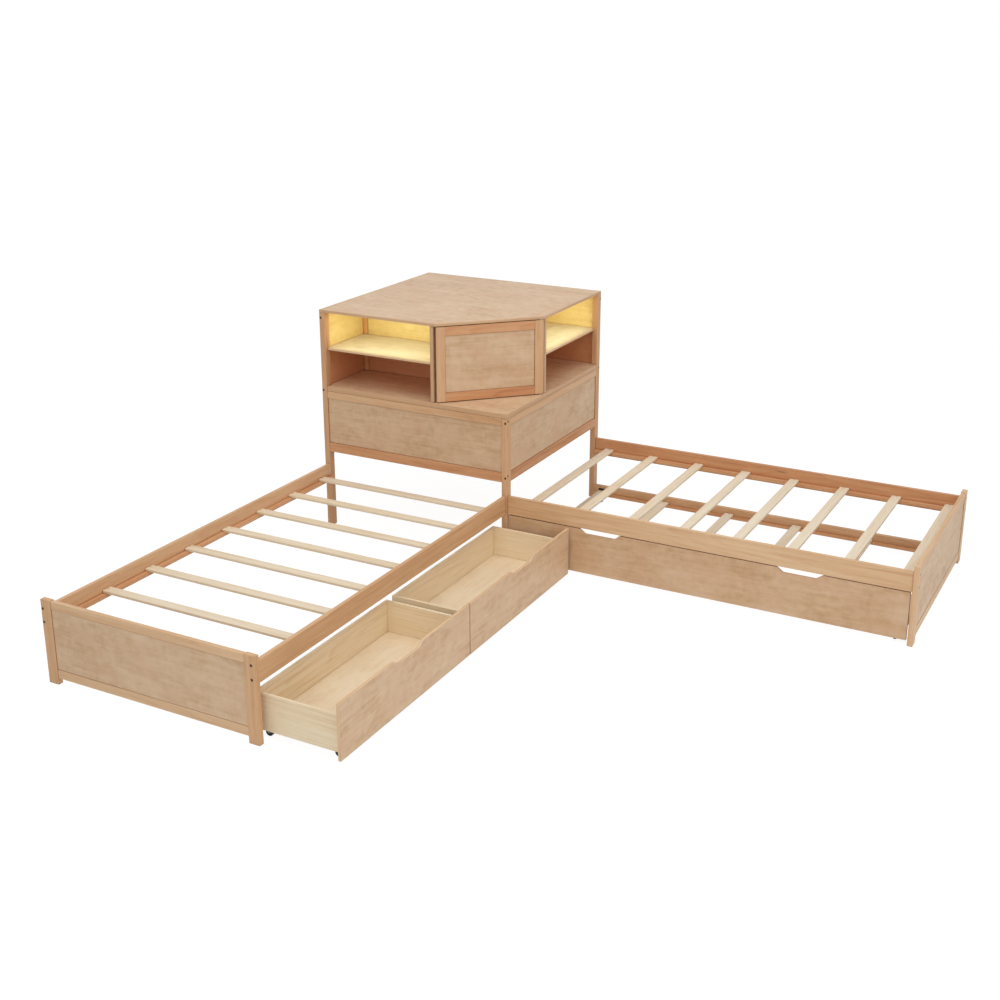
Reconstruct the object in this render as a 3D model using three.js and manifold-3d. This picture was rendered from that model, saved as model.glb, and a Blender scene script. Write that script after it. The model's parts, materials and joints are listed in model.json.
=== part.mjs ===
// L-shaped platform bed: two twin platform beds at right angles, joined by a corner unit
// that is headboard, desk and lit hutch at once. The left bed has two drawers on casters,
// the right bed has a trundle on casters. Millimetres, +Z up.
//
// The parts are laid out from the corner unit's outer front corner by the left bed: the
// left bed runs towards -Y, the right bed towards +X. The whole group is then moved so
// that its origin is the middle of the footprint, on the floor.

import * as THREE from 'three';
import { mergeVertices } from 'three/addons/utils/BufferGeometryUtils.js';
import Module from 'manifold-3d';

const wasm = await Module();
wasm.setup();

// Driving sizes
const unitSide = 1064; // the corner unit is square on plan, and each bed is as wide
const bedLength = 1960; // from the corner unit's face to the footboard's outer face
const seam = 0.3; // gap left where two boards meet
const cutOverrun = 5; // how far a cutting shape runs past the face that it cuts

// Corner unit: posts and boards
const postWide = 30;
const postDeep = 40;
const deskHeight = 756;
const deskThick = 24;
const hutchHeight = 1152;
const hutchThick = 14;
const chamferLeg = 391; // each leg of the corner cut off the hutch for the door

// Corner unit: framed headboards on the two faces that the beds meet
const headUnderside = 409;
const headRailThick = 20;
const headTopRail = 37;
const headBottomRail = 48;
const panelThick = 9;
const headPanelSetback = 6;

// Corner unit: walls, dividers and shelves
const wallThick = 10;
const wallSetback = 10;
const dividerThick = 18;
const dividerSetback = 5;
const dividerFromChamfer = 15;
const bayBackInset = 31; // from the dividers' meeting face to the back's rear face
const bayBackThick = 10;
const battenWide = 26;
const battenProud = 8;
const shelfThick = 10;
const shelfSetback = 20;
const shelfRiseShare = 0.513; // of the height between the desk and the hutch board

// Bay lights
const lightWide = 12;
const lightThick = 3;
const lightSetback = 30;
const lightEndGap = 40;

// Door across the chamfer, on a pivot pin at its top and its bottom edge
const doorThick = 18;
const doorGap = 3.5;
const doorEndGap = 3;
const doorMember = 45;
const doorPanelThick = 7;
const doorPanelSetback = 5;
const pivotInset = 12;
const pivotRadius = 4;
const pivotReach = 16;
const pivotFlangeRadius = 9;
const pivotFlangeThick = 2;
const pivotClearance = 0.3;
const roundSides = 24;

// Beds
const footHeight = 370;
const footPostWide = 51;
const footThick = 24;
const footRailDrop = 2;
const footTopRail = 35;
const footBottomRail = 39;
const footBottomGap = 29;
const footRailThick = 20;
const footPanelSetback = 4;
const innerRailInset = 6; // on the side that faces into the L
const outerRailInset = 14; // on the side away from it
const railThick = 18;
const railTop = 341;
const railHeight = 92;
const ledgerWide = 18;
const ledgerHeight = 20;
const mattressRecess = 49; // from the rails' top down to the slats' top
const slatCount = 8;
const slatWide = 47;
const slatThick = 12;
const firstSlat = 63; // from the corner unit's face to the first slat
const lastSlatGap = 22; // from the last slat to the footboard
const slatEndGap = 1.5;

// Casters
const wheelRadius = 17;
const wheelWide = 13;
const axleRadius = 3;
const axleClearance = 0.3;
const forkPlate = 3;
const forkTopGap = 3; // between the wheel and the plate over it
const forkCheek = 2.5;
const forkLength = 24;
const forkGap = 0.7; // between the wheel and each cheek

// Drawers, pulled out from under the left bed
const drawerCount = 2;
const drawerOut = 344;
const drawerEndGap = 12;
const drawerBetween = 4;
const drawerTopGap = 3;
const drawerFloorGap = 12;
const frontThick = 12;
const boxInset = 20;
const boxDepth = 387;
const boxTopDrop = 56; // from the front's top down to the box's top
const boxSkirt = 6; // from the floor board's underside down to the box's lower edge
const boxWall = 12;
const boxFloorThick = 6;
const notchTopWide = 214;
const notchBottomWide = 150;
const notchDepth = 20;
const drawerCasterBackInset = 45; // from the box's back to the wheels' middle
const drawerCasterFrontInset = 26;
const drawerCasterSideInset = 28;

// Trundle under the right bed
const trundleHeadGap = 8;
const trundleFootGap = 6;
const trundleTopGap = 4;
const trundleFloorGap = 22;
const trundleRailHeight = 60;
const trundleRailThick = 20;
const trundleBackInset = 41; // from the bed's outer side
const trundleSlatRise = 34; // from the trundle rails' underside up to the slats' top
const trundleLedgerHeight = 14;
const trundleSlatCount = 6;
const trundleHeadEndInset = 32; // from the front's end to the end rail under the first slat
const trundleFootEndInset = 24; // the same at the last slat
const trundleSlatEndGap = 4;
const gripTopWide = 208;
const gripBottomWide = 148;
const gripDepth = 21;
const gripShares = [0.25, 0.75]; // places of the two grips along the front
const trundleCasterInset = 30; // from the long boards' inner faces to the wheels' middle
const flangeThick = 2.5;
const flangeTop = 68;

// Finishes
const finish = (color, roughness) => new THREE.MeshStandardMaterial({ color, roughness, metalness: 0 });
const frameWood = () => finish(0xc9976a, 0.55);
const panelWood = () => finish(0xcaa682, 0.6);
const slatWood = () => finish(0xe6c79c, 0.65);
const blackPlastic = () => finish(0x1c1a19, 0.5);
const steel = () => new THREE.MeshStandardMaterial({ color: 0xb9bcc0, roughness: 0.35, metalness: 1 });
const lightCover = () => new THREE.MeshStandardMaterial({
  color: 0xffe9a0, roughness: 0.4, emissive: 0xffd35a, emissiveIntensity: 1,
});

// Shapes
function block([x0, x1], [y0, y1], [z0, z1]) {
  const box = new THREE.BoxGeometry(x1 - x0, y1 - y0, z1 - z0);
  return box.translate((x0 + x1) / 2, (y0 + y1) / 2, (z0 + z1) / 2);
}

function extruded(points, depth) {
  const shape = new THREE.Shape(points.map(([a, b]) => new THREE.Vector2(a, b)));
  return new THREE.ExtrudeGeometry(shape, { depth, bevelEnabled: false });
}

// A flat board with the outline given on plan, from z0 up to z1
function slab(points, [z0, z1]) {
  return extruded(points, z1 - z0).translate(0, 0, z0);
}

// An upright board with the outline given in X and Z, from y0 to y1
function uprightAlongX(points, [y0, y1]) {
  const turn = new THREE.Matrix4().makeBasis(
    new THREE.Vector3(1, 0, 0), new THREE.Vector3(0, 0, 1), new THREE.Vector3(0, -1, 0),
  );
  return extruded(points, y1 - y0).applyMatrix4(turn).translate(0, y1, 0);
}

// An upright board with the outline given in Y and Z, from x0 to x1
function uprightAlongY(points, [x0, x1]) {
  const turn = new THREE.Matrix4().makeBasis(
    new THREE.Vector3(0, 1, 0), new THREE.Vector3(0, 0, 1), new THREE.Vector3(1, 0, 0),
  );
  return extruded(points, x1 - x0).applyMatrix4(turn).translate(x0, 0, 0);
}

// A round bar along X, centred on the origin
function barAlongX(radius, length) {
  return new THREE.CylinderGeometry(radius, radius, length, roundSides).rotateZ(Math.PI / 2);
}

function solid(geometry) {
  const bare = geometry.clone();
  bare.deleteAttribute('normal');
  bare.deleteAttribute('uv');
  const merged = mergeVertices(bare);
  return new wasm.Manifold(new wasm.Mesh({
    numProp: 3,
    vertProperties: new Float32Array(merged.attributes.position.array),
    triVerts: new Uint32Array(merged.index.array),
  }));
}

function toGeometry(body) {
  const { vertProperties, triVerts } = body.getMesh();
  const geometry = new THREE.BufferGeometry();
  geometry.setAttribute('position', new THREE.BufferAttribute(vertProperties, 3));
  geometry.setIndex(new THREE.BufferAttribute(triVerts, 1));
  geometry.computeVertexNormals();
  return geometry;
}

function fused(...geometries) {
  return toGeometry(geometries.map(solid).reduce((whole, next) => whole.add(next)));
}

function cut(geometry, ...tools) {
  return toGeometry(tools.map(solid).reduce((whole, tool) => whole.subtract(tool), solid(geometry)));
}

function piece(name, geometry, material) {
  const mesh = new THREE.Mesh(geometry, material);
  mesh.name = name;
  return mesh;
}

const between = (low, high) => [low + seam, high - seam];

// Levels and faces that several pieces share
const hutchUnderside = hutchHeight - hutchThick;
const deskUnderside = deskHeight - deskThick;
const wallInner = wallSetback + wallThick;
const shelfTop = deskHeight + shelfRiseShare * (hutchUnderside - deskHeight);
const chamferStart = unitSide - chamferLeg;
const leftDivider = [chamferStart - dividerFromChamfer - dividerThick, chamferStart - dividerFromChamfer];
const rightDivider = [chamferLeg + dividerFromChamfer, chamferLeg + dividerFromChamfer + dividerThick];
const bayDepth = rightDivider[0] - bayBackInset - bayBackThick;
const railUnderside = railTop - railHeight;
const slatTop = railTop - mattressRecess;
const slatPitch = (bedLength - footThick - firstSlat - slatWide - lastSlatGap) / (slatCount - 1);
const casterHeight = 2 * wheelRadius + forkTopGap + forkPlate;
const frontFace = innerRailInset; // drawers and trundle close flush with the inner rails

// Corner posts: the one at the front corner ends under the desk board
function cornerPosts() {
  const low = [0, postWide];
  const high = [unitSide - postWide, unitSide];
  const front = [0, postDeep];
  const rear = [unitSide - postDeep, unitSide];
  const tall = [0, hutchUnderside - seam];
  const short = [0, deskUnderside - seam];
  return [
    piece('corner_post_left', block(low, front, tall), frameWood()),
    piece('corner_post_front', block(high, front, short), frameWood()),
    piece('corner_post_right', block(high, rear, tall), frameWood()),
    piece('corner_post_rear', block(low, rear, tall), frameWood()),
  ];
}

// The desk board fills the unit's square around three posts and inside the two walls
function deskBoard() {
  const postX = postWide + seam;
  const postY = postDeep + seam;
  const wall = wallInner + seam;
  const outline = [
    [postX, 0],
    [unitSide, 0],
    [unitSide, unitSide - postY],
    [unitSide - postX, unitSide - postY],
    [unitSide - postX, unitSide - wall],
    [postX, unitSide - wall],
    [postX, unitSide - postY],
    [wall, unitSide - postY],
    [wall, postY],
    [postX, postY],
  ];
  return piece('desk_board', slab(outline, [deskUnderside, deskHeight]), panelWood());
}

function hutchBoard() {
  const outline = [
    [0, 0],
    [chamferStart, 0],
    [unitSide, chamferLeg],
    [unitSide, unitSide],
    [0, unitSide],
  ];
  return piece('hutch_board', slab(outline, [hutchUnderside, hutchHeight]), panelWood());
}

// One headboard: place() turns spans along the face and out of it into a block
function headboard(side, alongSpan, place) {
  const along = between(...alongSpan);
  const rails = [0, headRailThick];
  const topRail = [deskUnderside - seam - headTopRail, deskUnderside - seam];
  const bottomRail = [headUnderside, headUnderside + headBottomRail];
  const panel = [headPanelSetback, headPanelSetback + panelThick];
  return [
    piece(`${side}_headboard_top_rail`, place(along, rails, topRail), frameWood()),
    piece(`${side}_headboard_bottom_rail`, place(along, rails, bottomRail), frameWood()),
    piece(`${side}_headboard_panel`, place(along, panel, between(bottomRail[1], topRail[0])), panelWood()),
  ];
}

function headboards() {
  const left = headboard('left', [postWide, unitSide - postWide], block);
  const right = headboard(
    'right',
    [postDeep, unitSide - postDeep],
    (along, [out0, out1], up) => block([unitSide - out1, unitSide - out0], along, up),
  );
  return [...left, ...right];
}

// The two outer walls stand between the posts, from the headboards' underside to the hutch board
function outerWalls() {
  const span = [wallSetback, wallInner];
  const up = [headUnderside, hutchUnderside - seam];
  const rearSpan = [unitSide - wallInner, unitSide - wallSetback];
  return [
    piece('left_wall', block(span, between(postDeep, unitSide - postDeep), up), panelWood()),
    piece('rear_wall', block(between(postWide, unitSide - postWide), rearSpan, up), panelWood()),
  ];
}

// Dividers part the two open bays from the door's cabinet, and carry the bays' backs
function dividers() {
  const up = between(deskHeight, hutchUnderside);
  return [
    piece('left_divider', block(leftDivider, [dividerSetback, rightDivider[0] - seam], up), panelWood()),
    piece('right_divider', block([leftDivider[0], unitSide - dividerSetback], rightDivider, up), panelWood()),
  ];
}

// Each bay's back has a batten at its outer end, which stands a little proud of it
function bayBacks() {
  const up = between(deskHeight, hutchUnderside);
  const wall = wallInner + seam;
  const batten = [wall, wall + battenWide];
  const back = [bayDepth, bayDepth + bayBackThick];
  const battenDeep = [bayDepth - battenProud, bayDepth - battenProud + battenWide];
  const flip = ([a, b]) => [unitSide - b, unitSide - a];
  return [
    piece('left_bay_back', fused(
      block([batten[1] - seam, leftDivider[0] - seam], back, up),
      block(batten, battenDeep, up),
    ), panelWood()),
    piece('right_bay_back', fused(
      block(flip(back), [rightDivider[1] + seam, unitSide - batten[1] + seam], up),
      block(flip(battenDeep), flip(batten), up),
    ), panelWood()),
  ];
}

// The shelves are cut round the posts and the battens
function shelves() {
  const up = [shelfTop - shelfThick, shelfTop];
  const wall = wallInner + seam;
  const postX = postWide + seam;
  const postY = postDeep + seam;
  const battenEnd = wall + battenWide + seam;
  const battenFace = bayDepth - battenProud - seam;
  const backFace = bayDepth - seam;
  const left = [
    [postX, shelfSetback],
    [leftDivider[0] - seam, shelfSetback],
    [leftDivider[0] - seam, backFace],
    [battenEnd, backFace],
    [battenEnd, battenFace],
    [wall, battenFace],
    [wall, postY],
    [postX, postY],
  ];
  const right = [
    [unitSide - shelfSetback, rightDivider[1] + seam],
    [unitSide - shelfSetback, unitSide - postY],
    [unitSide - postX, unitSide - postY],
    [unitSide - postX, unitSide - wall],
    [unitSide - battenFace, unitSide - wall],
    [unitSide - battenFace, unitSide - battenEnd],
    [unitSide - backFace, unitSide - battenEnd],
    [unitSide - backFace, rightDivider[1] + seam],
  ];
  return [
    piece('left_shelf', slab(left, up), panelWood()),
    piece('right_shelf', slab(right, up), panelWood()),
  ];
}

// A light strip under the hutch board, along each bay's open side
function bayLights() {
  const up = [hutchUnderside - seam - lightThick, hutchUnderside - seam];
  const front = [lightSetback, lightSetback + lightWide];
  const left = [postWide + lightEndGap, leftDivider[0] - lightEndGap];
  const right = [rightDivider[1] + lightEndGap, unitSide - postDeep - lightEndGap];
  return [
    piece('left_bay_light', block(left, front, up), lightCover()),
    piece('right_bay_light', block([unitSide - front[1], unitSide - front[0]], right, up), lightCover()),
  ];
}

// The door is built flat: X along the chamfer, Y into the cabinet, from the chamfer's left end
function door() {
  const width = Math.hypot(chamferLeg, chamferLeg);
  const span = [doorEndGap, width - doorEndGap];
  const up = [deskHeight + doorGap, hutchUnderside - doorGap];
  const opening = [span[0] + doorMember, span[1] - doorMember];
  const openingUp = [up[0] + doorMember, up[1] - doorMember];
  const pivot = [span[1] - pivotInset, doorThick / 2];
  const pin = (radius, [z0, z1]) => new THREE.CylinderGeometry(radius, radius, z1 - z0, roundSides)
    .rotateX(Math.PI / 2)
    .translate(pivot[0], pivot[1], (z0 + z1) / 2);
  const hole = pivotRadius + pivotClearance;
  const frame = cut(
    block(span, [0, doorThick], up),
    block(opening, [-cutOverrun, doorThick + cutOverrun], openingUp),
    pin(hole, [up[0] - cutOverrun, up[0] + pivotReach + pivotClearance]),
    pin(hole, [up[1] - pivotReach - pivotClearance, up[1] + cutOverrun]),
  );
  const panel = block(
    between(...opening),
    [doorPanelSetback, doorPanelSetback + doorPanelThick],
    between(...openingUp),
  );
  const lowFlange = [deskHeight + seam, deskHeight + seam + pivotFlangeThick];
  const topFlange = [hutchUnderside - seam - pivotFlangeThick, hutchUnderside - seam];
  const lowPin = [lowFlange[0], up[0] + pivotReach];
  const topPin = [up[1] - pivotReach, topFlange[1]];
  const pivotPiece = (flange, shank) => fused(pin(pivotFlangeRadius, flange), pin(pivotRadius, shank));
  const group = new THREE.Group();
  group.add(
    piece('door_frame', frame, frameWood()),
    piece('door_panel', panel, panelWood()),
    piece('door_pivot_low', pivotPiece(lowFlange, lowPin), steel()),
    piece('door_pivot_top', pivotPiece(topFlange, topPin), steel()),
  );
  group.rotation.z = Math.PI / 4;
  group.position.set(chamferStart, 0, 0);
  return group;
}

// One bed, from the corner unit's face at Y 0 to its footboard at -Y, with X from the side
// away from the L's inside. place() carries its blocks to where the bed stands.
function bed(side, place) {
  const foot = [-bedLength, -bedLength + footThick];
  const postUp = [0, footHeight];
  const topRail = [footHeight - footRailDrop - footTopRail, footHeight - footRailDrop];
  const bottomRail = [footBottomGap, footBottomGap + footBottomRail];
  const opening = [footPostWide, unitSide - footPostWide];
  const bite = [opening[0] - seam, opening[1] + seam];
  const railY = [foot[0] + (footThick - footRailThick) / 2, foot[1] - (footThick - footRailThick) / 2];
  const panelY = [foot[0] + footPanelSetback, foot[0] + footPanelSetback + panelThick];
  const footFrame = fused(
    place([0, footPostWide], foot, postUp),
    place([unitSide - footPostWide, unitSide], foot, postUp),
    place(bite, railY, topRail),
    place(bite, railY, bottomRail),
  );
  const footPanel = place(between(...opening), panelY, between(bottomRail[1], topRail[0]));

  const railY0 = foot[1] + seam;
  const railSpan = [railY0, -seam];
  const railUp = [railUnderside, railTop];
  const outer = [outerRailInset, outerRailInset + railThick];
  const inner = [unitSide - innerRailInset - railThick, unitSide - innerRailInset];
  const outerLedger = [outer[1] + seam, outer[1] + ledgerWide];
  const innerLedger = [inner[0] - ledgerWide, inner[0] - seam];

  const slatSpan = [outer[1] + slatEndGap, inner[0] - slatEndGap];
  const slatUp = [slatTop - slatThick, slatTop];
  const ledgerUp = [slatUp[0] - ledgerHeight, slatUp[0] + seam];
  const slats = [];
  for (let i = 0; i < slatCount; i += 1) {
    const near = -firstSlat - i * slatPitch;
    slats.push(place(slatSpan, [near - slatWide, near], slatUp));
  }
  const ledgers = [outerLedger, innerLedger].map((span) => place(span, railSpan, ledgerUp));
  return [
    piece(`${side}_footboard_frame`, footFrame, frameWood()),
    piece(`${side}_footboard_panel`, footPanel, panelWood()),
    piece(`${side}_bed_outer_rail`, place(outer, railSpan, railUp), frameWood()),
    piece(`${side}_bed_inner_rail`, place(inner, railSpan, railUp), frameWood()),
    piece(`${side}_slats`, fused(...slats, ...ledgers), slatWood()),
  ];
}

// A caster's fork hangs from z = casterHeight, open along X, with its pin along Y
function fork(x, y) {
  const half = wheelWide / 2 + forkGap;
  const length = [x - forkLength / 2, x + forkLength / 2];
  const up = [wheelRadius - axleRadius * 2, casterHeight];
  const plate = block(
    length,
    [y - half - forkCheek, y + half + forkCheek],
    [casterHeight - forkPlate, casterHeight + seam],
  );
  const cheek = (from) => block(length, [from, from + forkCheek], up);
  const pin = new THREE.CylinderGeometry(axleRadius, axleRadius, 2 * half + forkCheek, roundSides)
    .translate(x, y, wheelRadius);
  return [plate, cheek(y - half - forkCheek), cheek(y + half), pin];
}

// A wheel whose bore runs on a pin along Y
function wheel(name, x, y) {
  const bore = axleRadius + axleClearance;
  const half = wheelWide / 2;
  const profile = [
    [bore, -half], [wheelRadius, -half], [wheelRadius, half], [bore, half], [bore, -half],
  ].map(([r, h]) => new THREE.Vector2(r, h));
  const mesh = piece(name, new THREE.LatheGeometry(profile, roundSides), blackPlastic());
  mesh.position.set(x, y, wheelRadius);
  return mesh;
}

// One drawer, in its own frame: X from the box's back to the front, Y along the bed
function drawer(number, frontLength) {
  const name = `drawer_${number}`;
  const frontX = [boxDepth, boxDepth + frontThick];
  const low = drawerFloorGap;
  const high = railUnderside - drawerTopGap;
  const middle = frontLength / 2;
  const outline = [
    [0, low], [frontLength, low], [frontLength, high],
    [middle + notchTopWide / 2, high],
    [middle + notchBottomWide / 2, high - notchDepth],
    [middle - notchBottomWide / 2, high - notchDepth],
    [middle - notchTopWide / 2, high],
    [0, high],
  ];
  const sides = [boxInset, frontLength - boxInset];
  const up = [casterHeight - boxSkirt, high - boxTopDrop];
  const wallX = [0, boxDepth - seam];
  const box = fused(
    block([0, boxWall], sides, up),
    block(wallX, [sides[0], sides[0] + boxWall], up),
    block(wallX, [sides[1] - boxWall, sides[1]], up),
  );
  const floorX = [boxWall + seam, boxDepth - seam];
  const floorY = [sides[0] + boxWall + seam, sides[1] - boxWall - seam];
  const casterX = [drawerCasterBackInset, boxDepth - drawerCasterFrontInset];
  const casterY = [sides[0] + drawerCasterSideInset, sides[1] - drawerCasterSideInset];
  const places = casterY.flatMap((y) => casterX.map((x) => [x, y]));
  const floor = fused(
    block(floorX, floorY, [casterHeight, casterHeight + boxFloorThick]),
    ...places.flatMap(([x, y]) => fork(x, y)),
  );
  const group = new THREE.Group();
  group.add(
    piece(`${name}_front`, uprightAlongY(outline, frontX), panelWood()),
    piece(`${name}_box`, box, slatWood()),
    piece(`${name}_floor`, floor, slatWood()),
    ...places.map(([x, y], i) => wheel(`${name}_wheel_${i + 1}`, x, y)),
  );
  return group;
}

// The drawers stand side by side along the left bed, pulled out of it towards +X
function drawers() {
  const space = [-bedLength + footThick + drawerEndGap, -drawerEndGap];
  const frontLength = (space[1] - space[0] - drawerBetween * (drawerCount - 1)) / drawerCount;
  const back = unitSide - frontFace + drawerOut - frontThick - boxDepth;
  const all = [];
  for (let i = 0; i < drawerCount; i += 1) {
    const group = drawer(i + 1, frontLength);
    group.position.set(back, space[0] + i * (frontLength + drawerBetween), 0);
    all.push(group);
  }
  return all;
}

// The trundle's front has two grips cut into its top edge
function trundleFront([x0, x1], front) {
  const low = trundleFloorGap;
  const high = railUnderside - trundleTopGap;
  const outline = [[x0, low], [x1, low], [x1, high]];
  for (const share of [...gripShares].reverse()) {
    const middle = x0 + share * (x1 - x0);
    outline.push(
      [middle + gripTopWide / 2, high],
      [middle + gripBottomWide / 2, high - gripDepth],
      [middle - gripBottomWide / 2, high - gripDepth],
      [middle - gripTopWide / 2, high],
    );
  }
  outline.push([x0, high]);
  return uprightAlongX(outline, front);
}

// An end rail of the trundle. Near each end it holds a caster, whose plate runs on to the long
// board there and turns up against it as a flange. inward is 1 or -1.
function trundleEndRail(outerX, inward, ySpan, railUp) {
  const innerX = outerX + inward * trundleRailThick;
  const wheelX = innerX + inward * (forkCheek + forkGap + wheelWide / 2);
  const farX = innerX + inward * (2 * forkCheek + 2 * forkGap + wheelWide);
  const ordered = (a, b) => [Math.min(a, b), Math.max(a, b)];
  const low = wheelRadius - axleRadius * 2;
  const plateUp = [casterHeight - forkPlate, casterHeight];
  const ends = [[ySpan[0], 1], [ySpan[1], -1]];
  const casterY = ends.map(([boardY, away]) => boardY + away * (trundleCasterInset - seam));
  const shapes = [block(ordered(outerX, innerX), ySpan, railUp)];
  ends.forEach(([boardY, away], i) => {
    const y = casterY[i];
    const length = [y - forkLength / 2, y + forkLength / 2];
    const plateY = ordered(boardY, y + away * forkLength / 2);
    shapes.push(
      block(ordered(innerX - inward * seam, innerX + inward * forkCheek), length, [low, casterHeight]),
      block(ordered(farX - inward * forkCheek, farX), length, [low, casterHeight]),
      block(ordered(innerX - inward * seam, farX), plateY, plateUp),
      block(ordered(outerX, farX), ordered(boardY, boardY + away * flangeThick), [plateUp[0], flangeTop]),
      barAlongX(axleRadius, Math.abs(farX - innerX) - forkCheek).translate((innerX + farX) / 2, y, wheelRadius),
    );
  });
  return { geometry: fused(...shapes), wheelX, farX, casterY };
}

// The trundle, closed under the right bed
function trundle() {
  const xSpan = [unitSide + trundleHeadGap, unitSide + bedLength - footThick - trundleFootGap];
  const front = [frontFace, frontFace + frontThick];
  const backOuter = unitSide - trundleBackInset;
  const back = [backOuter - trundleRailThick, backOuter];
  const railUp = [trundleFloorGap, trundleFloorGap + trundleRailHeight];
  const top = trundleFloorGap + trundleSlatRise;
  const slatUp = [top - slatThick, top];
  const ledgerUp = [slatUp[0] - trundleLedgerHeight, slatUp[0] + seam];
  const ends = [xSpan[0] + trundleHeadEndInset, xSpan[1] - trundleFootEndInset];
  const endY = between(front[1], back[0]);
  const endUp = [railUp[0], slatUp[0] - seam];
  const leftEnd = trundleEndRail(ends[0], 1, endY, endUp);
  const rightEnd = trundleEndRail(ends[1], -1, endY, endUp);
  const inside = between(leftEnd.farX, rightEnd.farX);
  const ledgers = [
    block(inside, [front[1] + seam, front[1] + ledgerWide], ledgerUp),
    block(inside, [back[0] - ledgerWide, back[0] - seam], ledgerUp),
  ];

  const slatSpan = [front[1] + trundleSlatEndGap, back[0] - trundleSlatEndGap];
  const start = ends[0];
  const pitch = (ends[1] - slatWide - start) / (trundleSlatCount - 1);
  const slats = [];
  for (let i = 0; i < trundleSlatCount; i += 1) {
    const x = start + i * pitch;
    slats.push(block([x, x + slatWide], slatSpan, slatUp));
  }
  const wheels = [leftEnd, rightEnd].flatMap(({ wheelX, casterY }, i) => casterY.map((y, j) => {
    const mesh = wheel(`trundle_wheel_${2 * i + j + 1}`, wheelX, y);
    mesh.rotation.z = Math.PI / 2;
    return mesh;
  }));
  return [
    piece('trundle_front', trundleFront(xSpan, front), panelWood()),
    piece('trundle_back_rail', block(xSpan, back, railUp), frameWood()),
    piece('trundle_left_rail', leftEnd.geometry, frameWood()),
    piece('trundle_right_rail', rightEnd.geometry, frameWood()),
    piece('trundle_slats', fused(...slats, ...ledgers), slatWood()),
    ...wheels,
  ];
}

// The right bed is the left bed mirrored in the corner unit's diagonal
const mirrored = ([x0, x1], [y0, y1], zs) => (
  block([unitSide - y1, unitSide - y0], [unitSide - x1, unitSide - x0], zs)
);

const platformBed = new THREE.Group();
platformBed.add(
  ...cornerPosts(),
  deskBoard(),
  hutchBoard(),
  ...headboards(),
  ...outerWalls(),
  ...dividers(),
  ...bayBacks(),
  ...shelves(),
  ...bayLights(),
  door(),
  ...bed('left', block),
  ...bed('right', mirrored),
  ...drawers(),
  ...trundle(),
);
platformBed.position.set(-(unitSide + bedLength) / 2, (bedLength - unitSide) / 2, 0);

export default platformBed;
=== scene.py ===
# L-shaped platform bed: two slatted beds at right angles, joined by a corner unit that is
# headboard, desk and lit hutch at once. Two drawers stand pulled out of the left bed, and a
# trundle is closed under the right one. Metres, +Z up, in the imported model's own frame.

import json
import math
import random

import bmesh
import bpy
from mathutils import Matrix, Vector


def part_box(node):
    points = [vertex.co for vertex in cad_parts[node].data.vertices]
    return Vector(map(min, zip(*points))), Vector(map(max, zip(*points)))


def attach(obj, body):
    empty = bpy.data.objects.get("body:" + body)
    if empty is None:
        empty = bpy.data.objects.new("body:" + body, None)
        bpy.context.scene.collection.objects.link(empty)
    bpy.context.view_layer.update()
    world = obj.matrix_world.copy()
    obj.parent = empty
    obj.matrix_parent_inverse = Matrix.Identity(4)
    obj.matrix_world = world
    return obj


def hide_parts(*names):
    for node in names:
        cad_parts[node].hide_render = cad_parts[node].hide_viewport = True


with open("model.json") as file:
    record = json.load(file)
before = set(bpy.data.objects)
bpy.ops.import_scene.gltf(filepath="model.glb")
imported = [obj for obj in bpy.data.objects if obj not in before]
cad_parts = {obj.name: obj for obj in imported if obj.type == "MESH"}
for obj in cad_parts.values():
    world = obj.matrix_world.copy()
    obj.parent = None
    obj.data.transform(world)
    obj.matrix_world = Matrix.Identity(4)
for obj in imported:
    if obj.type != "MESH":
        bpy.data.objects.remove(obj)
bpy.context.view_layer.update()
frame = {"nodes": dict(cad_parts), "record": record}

MM = 0.001

# Sanded edges of each kind of board. An edge is sanded where its faces turn by more than
# EASED_TURN.
TIMBER_EASE = 1.6 * MM
DESK_EASE = 2.4 * MM
PANEL_EASE = 1.3 * MM
FRONT_EASE = 1.2 * MM
SHEET_EASE = 0.6 * MM
SLAT_EASE = 2.2 * MM
BOX_EASE = 0.9 * MM
STRIP_EASE = 1 * MM
BLACK_EASE = 0.4 * MM
EASE_STEPS = 2
EASED_TURN = math.radians(20)
SEAM = 0.3 * MM

# Cosines: a face square to an axis, and one that looks the way that a finish is given for.
# A sine: a face turned so far from the board's wide one that it belongs to the edge.
SQUARE_ON = 0.999
LOOKS_THAT_WAY = 0.9
BELONGS_TO_EDGE = 0.5

# Each board is cut from its own place in a tree: somewhere along the trunk, beside its pith
# and away from it, and a little out of line with it
TRUNK_LENGTH = 20
PITH_ASIDE = 25 * MM
PITH_NEAR = 45 * MM
PITH_FAR = 110 * MM
GRAIN_SLOPE = 0.02
MIDDLE_TONE = 0.5 # of turned parts, which aren't wood

# Corner posts and outer walls, as the desk and the shelves are notched round them
NOTCH_X = 30 * MM + SEAM
NOTCH_Y = 40 * MM + SEAM
WALL_NOTCH = 20 * MM + SEAM

# Footboards: members of the frame round the panel
FOOT_POST_WIDE = 51 * MM
FOOT_RAIL_DROP = 2 * MM
FOOT_TOP_RAIL = 35 * MM
FOOT_BOTTOM_RAIL = 39 * MM
FOOT_BOTTOM_GAP = 29 * MM
FOOT_RAIL_SET = 2 * MM

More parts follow.
